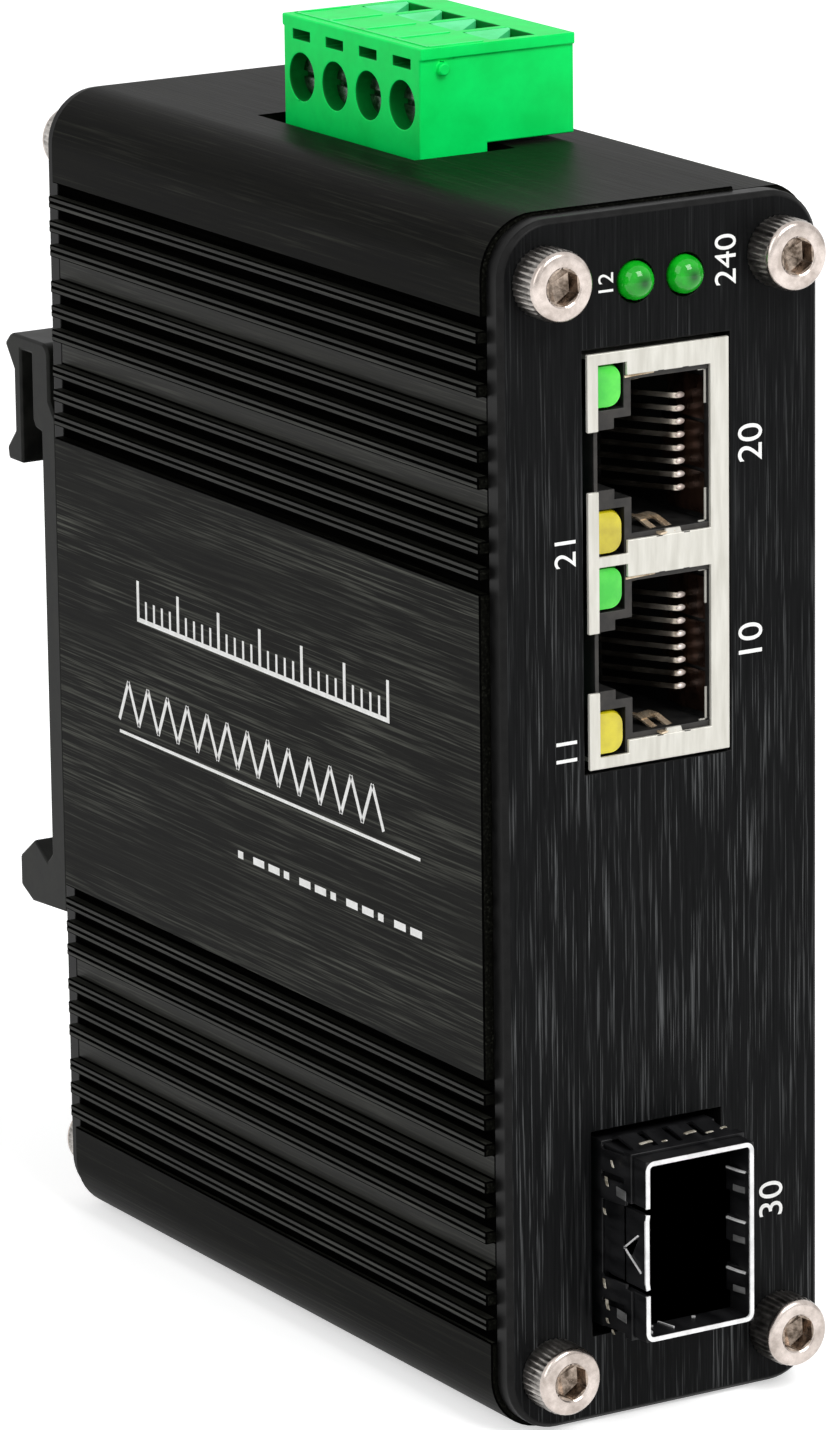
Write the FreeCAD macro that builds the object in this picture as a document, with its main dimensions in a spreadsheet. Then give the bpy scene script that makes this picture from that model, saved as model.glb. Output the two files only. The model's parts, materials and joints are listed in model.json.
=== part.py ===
import FreeCAD, Part
import os
import re
import Sketcher
from FreeCAD import Placement, Rotation, Vector

# Slim DIN-rail fibre media converter.
# Frame: X across the case, Y from front panel to rear panel, Z up.
# Origin: middle of the flat base of the case.

document = FreeCAD.newDocument("MediaConverter")
sheet = document.addObject("Spreadsheet::Sheet", "Sizes")

SIZES = [
    # case extrusion
    ("case_width", 29.4, "across the plain zones at top and bottom"),
    ("case_height", 95.0, "base to top"),
    ("case_length", 66.0, "extrusion between the two panels"),
    ("case_wall", 1.8, "wall under the plain zones"),
    ("corner_round", 4.6, "outer corner of the case"),
    ("floor_depth", 0.5, "groove floor below the plain zones"),
    ("rib_rise", 0.9, "ribs and label panel above the groove floor"),
    ("rib_thick", 1.0, "one rib"),
    ("rib_pitch", 2.0, "rib to rib in a group of three"),
    ("group_pitch", 7.0, "group to group"),
    ("groove_width", 1.0, "from the label panel to the first rib"),
    ("plain_end", 7.5, "plain zone at the top and at the bottom of each side"),
    ("seam_inset", 7.0, "step line on the top, from the side"),
    ("seam_drop", 0.3, "drop of the top beyond the step line"),
    ("overcut", 1.0, "how far a cutting block stands past a face"),
    ("boss_radius", 2.7, "screw channel"),
    ("web_width", 3.0, "web from a screw channel to the wall"),
    ("guide_rise", 2.4, "board guide above the inner wall"),
    ("guide_thick", 1.0, "one lip of a board guide"),
    ("guide_sink", 0.36, "board guide below the inner wall"),
    # panels and their screws
    ("panel_thick", 1.8, "front and rear panel"),
    ("panel_side_inset", 0.5, "panel edge inside the plain zones, each side"),
    ("panel_end_inset", 0.3, "panel edge inside the case, top and bottom"),
    ("panel_edge", 0.35, "chamfer round the panel face"),
    ("screw_inset_x", 4.3, "panel screw from the side of the case"),
    ("screw_inset_z", 4.9, "panel screw from the end of the case"),
    ("screw_radius", 1.5, "M3 shank"),
    ("screw_length", 8.0, "under the head"),
    ("screw_fit", 0.06, "radial gap in the channel"),
    ("panel_hole_gap", 0.2, "radial gap in a panel hole"),
    ("head_radius", 2.75, "socket head"),
    ("head_height", 3.0, "socket head"),
    ("head_edge", 0.35, "chamfer of the socket head"),
    ("hex_radius", 1.45, "socket hexagon across its corners, halved"),
    ("hex_depth", 1.7, "socket hexagon"),
    # board
    ("board_thick", 1.6, "printed circuit board"),
    ("board_side_room", 8.7, "component side of the board from the label side of the case"),
    ("board_face", "=board_side_room - case_width / 2", "component side of the board"),
    ("board_front_gap", 1.0, "from the front panel"),
    ("board_rear_gap", 2.0, "from the rear panel"),
    ("board_length", "=case_length - board_front_gap - board_rear_gap", "along the case"),
    ("board_gap", 0.3, "from a part to a mating part of the case"),
    ("transformer_gap", 2.0, "transformers behind the jack"),
    ("transformer_rise", 5.6, "above the board"),
    ("transformer_length", 7.2, "along the case"),
    ("transformer_height", 12.7, "up the board"),
    ("capacitor_y", 25.0, "middle of the capacitors"),
    ("capacitor_drop", 18.0, "middle of the capacitors, below the top"),
    ("capacitor_pitch", 8.0, "capacitor to capacitor"),
    ("capacitor_radius", 3.15, "can"),
    ("capacitor_height", 9.0, "can"),
    # RJ45 jack with two ports
    ("jack_set", 5.6, "middle of the jack face from the board"),
    ("jack_middle_x", "=board_face + jack_set", "middle of the jack face"),
    ("jack_drop", 10.9, "top of the jack face, below the top of the case"),
    ("jack_width", 12.6, "face across"),
    ("jack_end_rim", 1.0, "face above the upper port and below the lower, together"),
    ("jack_depth", 21.0, "behind the face"),
    ("jack_proud", 0.3, "face in front of the panel"),
    ("jack_sheet", 0.35, "shield sheet"),
    ("jack_window_gap", 0.3, "panel opening round the jack"),
    ("port_pitch", 15.5, "port to port"),
    ("port_height", 12.65, "shield opening of one port"),
    ("port_right_rim", 1.65, "shield rim beside the contacts"),
    ("port_left_rim", 0.95, "shield rim beside the indicator lights"),
    ("plug_height", 11.8, "cavity for the plug body"),
    ("plug_width", 6.9, "cavity for the plug body"),
    ("plug_depth", 15.5, "cavity for the plug body"),
    ("lamp_zone_rim", 0.8, "shield between the lights of the two ports"),
    ("lamp_zone_width", 2.55, "shield opening beside the lights"),
    ("lamp_span", 11.2, "between the two lights of a port"),
    ("latch_height", 6.2, "wide step for the plug latch"),
    ("latch_width", 1.5, "wide step for the plug latch"),
    ("tongue_height", 4.6, "narrow notch for the plug latch"),
    ("contact_pitch", 1.02, "contact to contact"),
    ("contact_wire", 0.4, "square contact wire"),
    ("contact_run", 8.0, "length of the sloped wire, along the port"),
    ("contact_lean", 3.25, "sideways run of the sloped wire"),
    ("contact_top", 1.3, "riser from the roof of the socket"),
    ("contact_set", 2.4, "wires behind the face"),
    ("lamp_gap", 0.1, "light to its pocket"),
    ("lamp_width", 1.9, "indicator light of the jack"),
    ("lamp_height", 3.4, "indicator light of the jack"),
    ("lamp_depth", 6.0, "indicator light of the jack"),
    # SFP cage
    ("cage_set", 5.25, "middle of the cage mouth from the board"),
    ("cage_middle_x", "=board_face + cage_set", "middle of the cage mouth"),
    ("cage_middle_z", 15.3, "middle of the cage mouth"),
    ("cage_width", 9.8, "outside across"),
    ("cage_height", 14.4, "outside up"),
    ("cage_length", 46.0, "behind the panel face"),
    ("cage_proud", 6.1, "in front of the panel face"),
    ("cage_sheet", 0.35, "folded sheet"),
    ("collar_sheet", 0.25, "spring finger sheet"),
    ("collar_length", 4.4, "spring fingers in front of the panel"),
    ("collar_behind", 1.2, "spring finger band behind the panel face"),
    ("finger_gap", 0.55, "slot between spring fingers"),
    ("finger_bulge", 0.45, "spring finger crest above the band"),
    ("cage_window_gap", 0.3, "panel opening round the collar"),
    ("tongue_span", 6.0, "latch tongue across"),
    ("tongue_slit", 0.5, "slit beside the latch tongue"),
    ("tongue_length", 5.6, "latch tongue from the mouth"),
    ("edge_connector_depth", 9.5, "connector at the back of the cage"),
    ("edge_connector_height", 11.4, "connector at the back of the cage"),
    ("edge_connector_rise", 6.2, "connector above the board"),
    ("edge_slot_width", 1.3, "slot for the module's board"),
    ("edge_slot_height", 9.1, "slot for the module's board"),
    ("collar_ring", 0.8, "ring at the front of the spring fingers"),
    ("finger_width", 1.7, "one spring finger"),
    ("finger_crest", 2.6, "crest of a spring finger, behind the ring"),
    ("finger_row_set", 5.1, "short finger rows from the middle of the cage"),
    ("catch_set", 2.5, "catch hole behind the mouth"),
    ("catch_radius", 1.5, "corner radius of the three-sided catch hole"),
    ("tab_set", 1.4, "spring tabs inside the cage, from the mouth"),
    ("tab_length", 3.2, "spring tab"),
    ("tab_width", 1.6, "spring tab"),
    ("tab_pitch", 3.9, "tab to tab"),
    ("tab_lean", 0.77, "sideways run of the spring tabs"),
    # status lights
    ("holder_gap", 1.5, "from the panel to the light holder"),
    ("holder_height", 3.0, "light holder"),
    ("light_radius", 1.5, "3 mm light"),
    ("light_span", 4.4, "between the two lights"),
    ("light_middle_x", 0.0, "middle between the lights, from the middle of the case"),
    ("light_drop", 5.8, "lights below the top of the case"),
    ("light_proud", 1.3, "dome in front of the panel"),
    ("light_gap", 0.15, "radial gap in the panel"),
    ("holder_depth", 5.0, "holder behind the panel"),
    # power terminal
    ("pole_pitch", 5.08, "pole to pole"),
    ("plug_end_wall", 0.4, "beyond the last pole"),
    ("plug_set", 1.15, "screw side of the plug from the board"),
    ("plug_left", "=board_face + plug_set", "screw side of the plug"),
    ("plug_across", 14.0, "screw side to plain side"),
    ("plug_rise", 8.0, "plug above the case"),
    ("plug_seat_gap", 0.3, "plug above the case top"),
    ("plug_middle_y", 1.9, "middle of the plug along the case"),
    ("insert_width", 6.2, "part of the plug inside the header"),
    ("insert_depth", 8.2, "part of the plug inside the header"),
    ("screw_hole_radius", 1.9, "screw hole in the plug"),
    ("screw_hole_level", 3.2, "screw hole above the plug's underside"),
    ("wire_hole_side", 3.4, "wire entry along the row"),
    ("wire_funnel", 0.8, "flare of the wire entry"),
    ("wire_hole_across", 2.4, "wire entry across the row"),
    ("slot_width", 2.6, "test slot above each screw hole"),
    ("slot_height", 0.75, "test slot above each screw hole"),
    ("slot_depth", 2.0, "test slot above each screw hole"),
    ("slot_drop", 1.1, "test slot below the top"),
    ("ledge_drop", 1.0, "ledge below the top of the plug's ends"),
    ("ledge_depth", 0.25, "ledge set in from the plug's ends"),
    ("nub_radius", 0.5, "small stub on each end of the plug"),
    ("nub_set", 2.0, "stub from the screw side"),
    ("nub_drop", 1.8, "stub below the top"),
    ("end_step", 3.0, "step in the plug's ends from the screw side"),
    ("clamp_screw_radius", 1.25, "M2.5 clamp screw"),
    ("clamp_head_radius", 1.7, "clamp screw head"),
    ("clamp_head_length", 1.3, "clamp screw head"),
    ("clamp_shoulder", 0.8, "plug wall behind the clamp screw head"),
    ("clamp_head_set", 1.9, "clamp screw head below the plug face"),
    ("clamp_slot", 0.5, "driver slot"),
    ("clamp_fit", 0.05, "radial gap in the clamp thread"),
    ("clamp_width", 4.0, "clamp cage along the row"),
    ("clamp_across", 5.2, "clamp cage along the screw"),
    ("clamp_height", 3.6, "clamp cage up"),
    ("clamp_sheet", 0.7, "clamp cage sides"),
    ("clamp_thread_wall", 1.2, "clamp cage wall with the thread"),
    ("clamp_travel", 1.5, "clamp cage along the screw"),
    ("clamp_gap", 0.15, "clamp cage to its pocket"),
    ("bridge_floor", 0.45, "plug floor under the bridge"),
    ("pin_fit", 0.06, "contact leaf to the pin"),
    ("leaf_thick", 0.4, "contact leaf"),
    ("bar_thick", 0.7, "current bar"),
    ("bar_width", 2.2, "current bar"),
    ("pin_side", 1.0, "square header pin"),
    ("pin_channel", 3.0, "square channel round a pin in the plug"),
    ("pin_drop", 1.5, "pin tail below the header"),
    ("pin_hole_radius", 0.8, "board hole of a pin"),
    ("pin_rise", 6.0, "header pin above the header floor"),
    ("header_wall", 0.8, "header wall"),
    ("header_gap", 0.25, "plug insert to header, each side"),
    ("header_floor", 1.6, "header floor"),
    ("header_window_gap", 0.3, "case opening round the header"),
    # DIN clip, levels are above its lowest point
    ("clip_side_inset", 0.2, "clip inside the sides of the rear panel"),
    ("clip_drop", 22.4, "lowest point below the middle of the case"),
    ("clip_height", 48.4, "lowest to highest point"),
    ("clip_strip", 2.45, "strip against the rear panel"),
    ("clip_reach", 8.4, "how far the hooks stand out"),
    ("clip_finger", 1.2, "outer finger"),
    ("clip_leg", 2.8, "sprung leg"),
    ("clip_flare", 1.0, "bent ends of the finger"),
    ("clip_ease", 0.4, "small slopes of the clip"),
    ("clip_slot", 1.9, "slot that takes the rail edge"),
    ("clip_slot_end", 1.2, "end of the slot below the highest point"),
    ("clip_top_bend", 3.0, "bent top of the finger"),
    ("clip_mouth_bend", 2.6, "bent mouth of the finger"),
    ("clip_lip", 37.6, "mouth of the slot"),
    ("clip_heel", 40.9, "foot of the sprung leg"),
    ("clip_gap", 1.05, "behind the sprung leg"),
    ("clip_notch", 4.1, "lower rail edge"),
    ("clip_lower_lip", 5.5, "tip of the lower hook"),
    ("clip_hook_in", 3.0, "tip of the lower hook, in from the reach"),
    ("clip_foot_in", 2.4, "foot of the lower hook, in from the reach"),
    ("clip_screw_low", 9.9, "lower clip screw"),
    ("clip_screw_high", 31.9, "upper clip screw"),
    ("clip_hex_radius", 1.15, "socket of a clip screw across its corners, halved"),
]
BOARD_PARTS = [
    # name, along the case, drop below the top, length along, height up, rise from the board
    ("switch_chip", 0.0, 51.0, 14.0, 14.0, 1.4),
    ("memory_chip", 15.0, 49.0, 5.0, 5.3, 1.8),
    ("power_chip", 14.0, 37.0, 4.9, 6.0, 1.6),
    ("power_inductor", 14.0, 25.0, 7.8, 7.8, 4.5),
    ("crystal", 21.0, 61.0, 11.0, 4.6, 3.4),
    ("input_fuse", 24.0, 35.0, 3.2, 7.0, 2.8),
    ("surge_diode", 24.0, 47.0, 3.8, 6.8, 2.4),
]
for part_name, *part_sizes in BOARD_PARTS:
    for word, value in zip(("along", "drop", "length", "height", "rise"), part_sizes):
        SIZES.append((f"{part_name}_{word}", value, "board part"))

sheet_names = set()
for row, (alias, value, note) in enumerate(SIZES, start=1):
    sheet.set("A%d" % row, alias)
    sheet.set("B%d" % row, str(value))
    sheet.set("C%d" % row, note)
    sheet.setAlias("B%d" % row, alias)
    sheet_names.add(alias)
document.recompute()


def formula(text):
    """Put the sheet's name in front of each of its aliases."""
    return re.sub(r"[a-z][a-z0-9_]*", lambda word: prefixed(word.group()), str(text))


def prefixed(word):
    return "Sizes." + word if word in sheet_names else word


def bind(item, target, text):
    item.setExpression(target, formula(text))


# Places worked out from the sheet, as formulas.
FRONT = "(-case_length / 2 - panel_thick)"
BACK = "(case_length / 2 + panel_thick)"
MIDDLE = "(case_height / 2)"
FLOOR_X = "(case_width / 2 - floor_depth)"
SCREW_X = "(case_width / 2 - screw_inset_x)"
SCREW_Z = "(case_height / 2 - screw_inset_z)"
RIBBED = "(case_height - 2 * plain_end)"
LABEL = "(%s - 6 * group_pitch)" % RIBBED
JACK_HEIGHT = "(2 * port_pitch + jack_end_rim)"
JACK_MIDDLE = "(case_height - jack_drop - %s / 2)" % JACK_HEIGHT
LIGHT_LEVEL = "(case_height - light_drop)"
LIGHT_SPOTS = ["(light_middle_x + light_span / 2)", "(light_middle_x - light_span / 2)"]
CLIP_BOTTOM = "(%s - clip_drop)" % MIDDLE
CLIP_SCREWS = ["(%s + clip_screw_low)" % CLIP_BOTTOM, "(%s + clip_screw_high)" % CLIP_BOTTOM]
JACK_LEFT = "(jack_middle_x - jack_width / 2)"
JACK_FACE = "(%s - jack_proud)" % FRONT
CAGE_LEFT = "(cage_middle_x - cage_width / 2)"
CAGE_MOUTH = "(%s - cage_proud)" % FRONT
PLUG_LENGTH = "(4 * pole_pitch + 2 * plug_end_wall)"
PLUG_NEAR = "(plug_middle_y - %s / 2)" % PLUG_LENGTH
PLUG_BASE = "(case_height + plug_seat_gap)"
PLUG_TOP = "(%s + plug_rise)" % PLUG_BASE
SCREW_LEVEL = "(%s + screw_hole_level)" % PLUG_BASE
HEADER_INNER = "(insert_width + 2 * header_gap)"
HEADER_LENGTH = "(%s + 2 * header_gap)" % PLUG_LENGTH
HEADER_MIDDLE = "(board_face + header_wall + %s / 2)" % HEADER_INNER
HEADER_BOTTOM = "(%s - insert_depth - header_gap - header_floor)" % PLUG_BASE
HEAD_SEAT = "(plug_left + clamp_head_set + clamp_head_length)"
CLAMP_HOME = "(%s + clamp_shoulder + clamp_gap + clamp_travel)" % HEAD_SEAT
BAR_LEFT = "(%s + clamp_thread_wall + clamp_gap)" % CLAMP_HOME
WIRE_LEFT = "(%s + bar_thick)" % BAR_LEFT
PIN_LEVEL = "(%s - pin_drop)" % HEADER_BOTTOM
BRIDGE_TOP = "(bridge_floor + bar_thick)"
COLLAR_OUT = "(collar_sheet + finger_bulge + cage_window_gap)"

AXES = {
    "X": Rotation(Vector(0, 1, 0), 90),
    "Y": Rotation(Vector(1, 0, 0), -90),
    "-X": Rotation(Vector(0, 1, 0), -90),
    "-Y": Rotation(Vector(1, 0, 0), 90),
    "Z": Rotation(),
    "-Z": Rotation(Vector(1, 0, 0), 180),
}


# ---- small builders -------------------------------------------------------

def place(item, x, y, z, axis="Z"):
    item.Placement = Placement(Vector(), AXES[axis])
    bind(item, "Placement.Base.x", x)
    bind(item, "Placement.Base.y", y)
    bind(item, "Placement.Base.z", z)
    return item


def box(x, y, z, across, along, up):
    """A block from its lowest corner."""
    item = document.addObject("Part::Box", "Block")
    bind(item, "Length", across)
    bind(item, "Width", along)
    bind(item, "Height", up)
    return place(item, x, y, z)


def centred_box(x, y, z, across, along, up):
    """A block centred in X and Z, starting at y."""
    return box("%s - (%s) / 2" % (x, across), y, "%s - (%s) / 2" % (z, up), across, along, up)


def cylinder(axis, x, y, z, radius, length):
    item = document.addObject("Part::Cylinder", "Round")
    bind(item, "Radius", radius)
    bind(item, "Height", length)
    return place(item, x, y, z, axis)


def cone(axis, x, y, z, radius_start, radius_end, length):
    item = document.addObject("Part::Cone", "Taper")
    bind(item, "Radius1", radius_start)
    bind(item, "Radius2", radius_end)
    bind(item, "Height", length)
    return place(item, x, y, z, axis)


def prism(axis, x, y, z, corner_radius, length):
    item = document.addObject("Part::Prism", "Hexagon")
    item.Polygon = 6
    bind(item, "Circumradius", corner_radius)
    bind(item, "Height", length)
    return place(item, x, y, z, axis)


def lean(item, shift, run):
    """Swing a part about Z at its corner, by the angle of a sideways shift over a run."""
    item.Placement.Rotation = Rotation(Vector(0, 0, 1), 1)
    bind(item, "Placement.Rotation.Angle", f"asin({shift} / {run})")


def sphere(x, y, z, radius):
    item = document.addObject("Part::Sphere", "Ball")
    bind(item, "Radius", radius)
    return place(item, x, y, z)


def fuse(parts):
    if len(parts) == 1:
        return parts[0]
    item = document.addObject("Part::MultiFuse", "Joined")
    item.Shapes = parts
    return item


def cut(base, tools):
    item = document.addObject("Part::Cut", "Cut")
    item.Base = base
    item.Tool = fuse(tools)
    return item


def group(parts):
    """Separate solids kept in one sub-part."""
    item = document.addObject("Part::Compound", "Set")
    item.Links = parts
    return item


pieces = []


def keep(item, name):
    item.Label = name
    pieces.append(item)
    return item


# ---- PartDesign helpers ----------------------------------------------------

def new_body(name):
    body = document.addObject("PartDesign::Body", "Body_" + name)
    return body


def origin_item(body, role):
    return next(item for item in body.Origin.OriginFeatures if item.Role == role)


def new_sketch(body, role, x="0", y="0", z="0"):
    """A sketch on an origin plane, shifted by x, y in the plane and z along its normal."""
    sketch = body.newObject("Sketcher::SketchObject", "Sketch")
    sketch.AttachmentSupport = [(origin_item(body, role), "")]
    sketch.MapMode = "FlatFace"
    bind(sketch, "AttachmentOffset.Base.x", x)
    bind(sketch, "AttachmentOffset.Base.y", y)
    bind(sketch, "AttachmentOffset.Base.z", z)
    return sketch


def draw_rectangle(sketch, width, height):
    """A rectangle centred on the sketch's origin."""
    half, rise = worth(width) / 2, worth(height) / 2
    corners = [Vector(-half, -rise, 0), Vector(half, -rise, 0), Vector(half, rise, 0), Vector(-half, rise, 0)]
    for index in range(4):
        sketch.addGeometry(Part.LineSegment(corners[index], corners[(index + 1) % 4]), False)
    for index in range(4):
        sketch.addConstraint(Sketcher.Constraint("Coincident", index, 2, (index + 1) % 4, 1))
    sketch.addConstraint(Sketcher.Constraint("Horizontal", 0))
    sketch.addConstraint(Sketcher.Constraint("Horizontal", 2))
    sketch.addConstraint(Sketcher.Constraint("Vertical", 1))
    sketch.addConstraint(Sketcher.Constraint("Vertical", 3))
    sketch.addConstraint(Sketcher.Constraint("Symmetric", 0, 1, 2, 1, -1, 1))
    wide = sketch.addConstraint(Sketcher.Constraint("DistanceX", 0, 1, 0, 2, worth(width)))
    tall = sketch.addConstraint(Sketcher.Constraint("DistanceY", 1, 1, 1, 2, worth(height)))
    bind(sketch, "Constraints[%d]" % wide, width)
    bind(sketch, "Constraints[%d]" % tall, height)
    return sketch


def draw_circle(sketch, radius):
    sketch.addGeometry(Part.Circle(Vector(0, 0, 0), Vector(0, 0, 1), worth(radius)), False)
    sketch.addConstraint(Sketcher.Constraint("Coincident", 0, 3, -1, 1))
    size = sketch.addConstraint(Sketcher.Constraint("Radius", 0, worth(radius)))
    bind(sketch, "Constraints[%d]" % size, radius)
    return sketch


def draw_outline(sketch, corners):
    """A closed outline of straight runs; each corner is a pair of formulas, none negative."""
    values = [(worth(across), worth(up)) for across, up in corners]
    count = len(corners)
    for index in range(count):
        start = Vector(values[index][0], values[index][1], 0)
        end = Vector(values[(index + 1) % count][0], values[(index + 1) % count][1], 0)
        sketch.addGeometry(Part.LineSegment(start, end), False)
    for index in range(count):
        sketch.addConstraint(Sketcher.Constraint("Coincident", index, 2, (index + 1) % count, 1))
    for index, (across, up) in enumerate(corners):
        for kind, axis, text, value in (("DistanceX", -2, across, values[index][0]),
                                        ("DistanceY", -1, up, values[index][1])):
            if text == "0":
                sketch.addConstraint(Sketcher.Constraint("PointOnObject", index, 1, axis))
                continue
            size = sketch.addConstraint(Sketcher.Constraint(kind, -1, 1, index, 1, value))
            bind(sketch, "Constraints[%d]" % size, text)
    return sketch


def worth(text):
    """The present value of a formula."""
    numbers = {alias: sheet.get(alias) for alias in sheet_names}
    return float(FreeCAD.Units.Quantity(re.sub(
        r"[a-z][a-z0-9_]*", lambda word: "(%r)" % float(numbers[word.group()]), str(text))).Value)


def pad(body, sketch, length, reverse=False, midplane=False):
    feature = body.newObject("PartDesign::Pad", "Pad")
    feature.Profile = sketch
    feature.Reversed = reverse
    feature.Midplane = midplane
    feature.Refine = False
    bind(feature, "Length", length)
    return feature


def pocket(body, sketch, length, reverse=False, midplane=False):
    feature = body.newObject("PartDesign::Pocket", "Pocket")
    feature.Profile = sketch
    feature.Reversed = reverse
    feature.Midplane = midplane
    feature.Refine = False
    bind(feature, "Length", length)
    return feature


def drill(body, sketch):
    feature = body.newObject("PartDesign::Pocket", "Through")
    feature.Profile = sketch
    feature.Type = "ThroughAll"
    feature.Midplane = True
    feature.Refine = False
    return feature


def edges_where(feature, test):
    document.recompute()
    names = []
    for index, edge in enumerate(feature.Shape.Edges, start=1):
        if test(edge):
            names.append("Edge%d" % index)
    return names


def along(edge, direction):
    if not isinstance(edge.Curve, Part.Line):
        return False
    return abs(abs(edge.tangentAt(edge.FirstParameter).dot(direction)) - 1) < 1e-6


def round_edges(body, feature, names, radius):
    fillet = body.newObject("PartDesign::Fillet", "Fillet")
    fillet.Base = (feature, names)
    bind(fillet, "Radius", radius)
    return fillet


def bevel_edges(body, feature, names, size):
    chamfer = body.newObject("PartDesign::Chamfer", "Chamfer")
    chamfer.Base = (feature, names)
    bind(chamfer, "Size", size)
    return chamfer


# ---- case ------------------------------------------------------------------

def build_case():
    """One extrusion: ribbed sides, label panels, top step, screw channels, board guides."""
    body = new_body("case")
    bind(body, "Placement.Base.z", MIDDLE)
    outline = draw_rectangle(new_sketch(body, "XZ_Plane"), "case_width", "case_height")
    shell = pad(body, outline, "case_length", midplane=True)
    corners = edges_where(shell, lambda edge: along(edge, Vector(0, 1, 0)))
    round_edges(body, shell, corners, "corner_round")
    step = new_sketch(body, "XZ_Plane", "case_width / 2", "case_height / 2")
    draw_rectangle(step, "2 * seam_inset", "2 * seam_drop")
    pocket(body, step, "case_length + overcut", midplane=True)
    cavity = new_sketch(body, "XZ_Plane")
    draw_rectangle(cavity, "case_width - 2 * case_wall", "case_height - 2 * case_wall")
    pocket(body, cavity, "case_length + overcut", midplane=True)
    add_channels(body)
    add_guides(body)
    window = new_sketch(body, "XY_Plane", HEADER_MIDDLE, "plug_middle_y", "case_height / 2")
    draw_rectangle(window, "%s + 2 * header_wall + 2 * header_window_gap" % HEADER_INNER,
                   "%s + 2 * header_wall + 2 * header_window_gap" % HEADER_LENGTH)
    pocket(body, window, "2 * (case_wall + guide_rise + board_gap)", midplane=True)
    for side in ("", "-"):
        zone = new_sketch(body, "XZ_Plane", "%s(case_width / 2 + floor_depth)" % side)
        draw_rectangle(zone, "4 * floor_depth", RIBBED)
        pocket(body, zone, "case_length + overcut", midplane=True)
    for side in ("", "-"):
        label = new_sketch(body, "XZ_Plane", "%s(%s + rib_rise / 2)" % (side, FLOOR_X))
        draw_rectangle(label, "rib_rise", LABEL)
        pad(body, label, "case_length", midplane=True)
    rib_sketch = new_sketch(body, "XZ_Plane", "-(%s + rib_rise / 2)" % FLOOR_X,
                            f"{LABEL} / 2 + groove_width + rib_thick / 2")
    draw_rectangle(rib_sketch, "rib_rise", "rib_thick")
    rib = pad(body, rib_sketch, "case_length", midplane=True)
    repeat_rib(body, rib)
    return keep(body, "case_extrusion")


def repeat_rib(body, rib):
    """Three ribs to a group, three groups, above and below the label panel, on both sides."""
    pattern = body.newObject("PartDesign::MultiTransform", "Ribs")
    pattern.Originals = [rib]
    in_group = body.newObject("PartDesign::LinearPattern", "InGroup")
    in_group.Direction = (origin_item(body, "Z_Axis"), [""])
    in_group.Occurrences = 3
    bind(in_group, "Length", "2 * rib_pitch")
    groups = body.newObject("PartDesign::LinearPattern", "Groups")
    groups.Direction = (origin_item(body, "Z_Axis"), [""])
    groups.Occurrences = 3
    bind(groups, "Length", "2 * group_pitch")
    below = body.newObject("PartDesign::Mirrored", "Below")
    below.MirrorPlane = (origin_item(body, "XY_Plane"), [""])
    across = body.newObject("PartDesign::Mirrored", "Across")
    across.MirrorPlane = (origin_item(body, "YZ_Plane"), [""])
    pattern.Transformations = [in_group, groups, below, across]
    body.Tip = pattern
    return pattern


def add_channels(body):
    """Round channels in the corners that take the panel screws."""
    for side in ("", "-"):
        for end in ("", "-"):
            spot = (side + SCREW_X, end + SCREW_Z)
            pad(body, draw_circle(new_sketch(body, "XZ_Plane", *spot), "boss_radius"),
                "case_length", midplane=True)
            rise = "(screw_inset_z - case_wall)"
            middle = f"({SCREW_Z} + ({rise} + guide_sink) / 2)"
            web = new_sketch(body, "XZ_Plane", side + SCREW_X, end + middle)
            draw_rectangle(web, "web_width", f"{rise} + guide_sink")
            pad(body, web, "case_length", midplane=True)
            drill(body, draw_circle(new_sketch(body, "XZ_Plane", *spot), "screw_radius + screw_fit"))


def add_guides(body):
    """A pair of lips at the top and at the bottom that hold the board's edges."""
    lips = ("board_face + board_gap / 2 + guide_thick / 2",
            "board_face - board_thick - board_gap / 2 - guide_thick / 2")
    for end in ("", "-"):
        for lip in lips:
            level = "%s(case_height / 2 - case_wall - (guide_rise - guide_sink) / 2)" % end
            guide = new_sketch(body, "XZ_Plane", lip, level)
            draw_rectangle(guide, "guide_thick", "guide_rise + guide_sink")
            pad(body, guide, "case_length", midplane=True)


# ---- panels and screws -----------------------------------------------------

def panel_blank(name, face):
    """A flat plate with round corners; face is -1 at the front and 1 at the rear."""
    body = new_body(name)
    bind(body, "Placement.Base.y", f"{face} * (case_length / 2 + panel_thick / 2)")
    bind(body, "Placement.Base.z", MIDDLE)
    outline = draw_rectangle(new_sketch(body, "XZ_Plane"), "case_width - 2 * panel_side_inset",
                             "case_height - 2 * panel_end_inset")
    plate = pad(body, outline, "panel_thick", midplane=True)
    corners = edges_where(plate, lambda edge: along(edge, Vector(0, 1, 0)))
    plate = round_edges(body, plate, corners, "corner_round - panel_side_inset / 2")
    rim = edges_where(plate, lambda edge: edge.BoundBox.YLength < 1e-6 and edge.BoundBox.YMin * face > 0)
    bevel_edges(body, plate, rim, "panel_edge")
    for side in ("", "-"):
        for end in ("", "-"):
            hole = new_sketch(body, "XZ_Plane", f"{side}{SCREW_X}", f"{end}{SCREW_Z}")
            drill(body, draw_circle(hole, "screw_radius + panel_hole_gap"))
    return body


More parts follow.
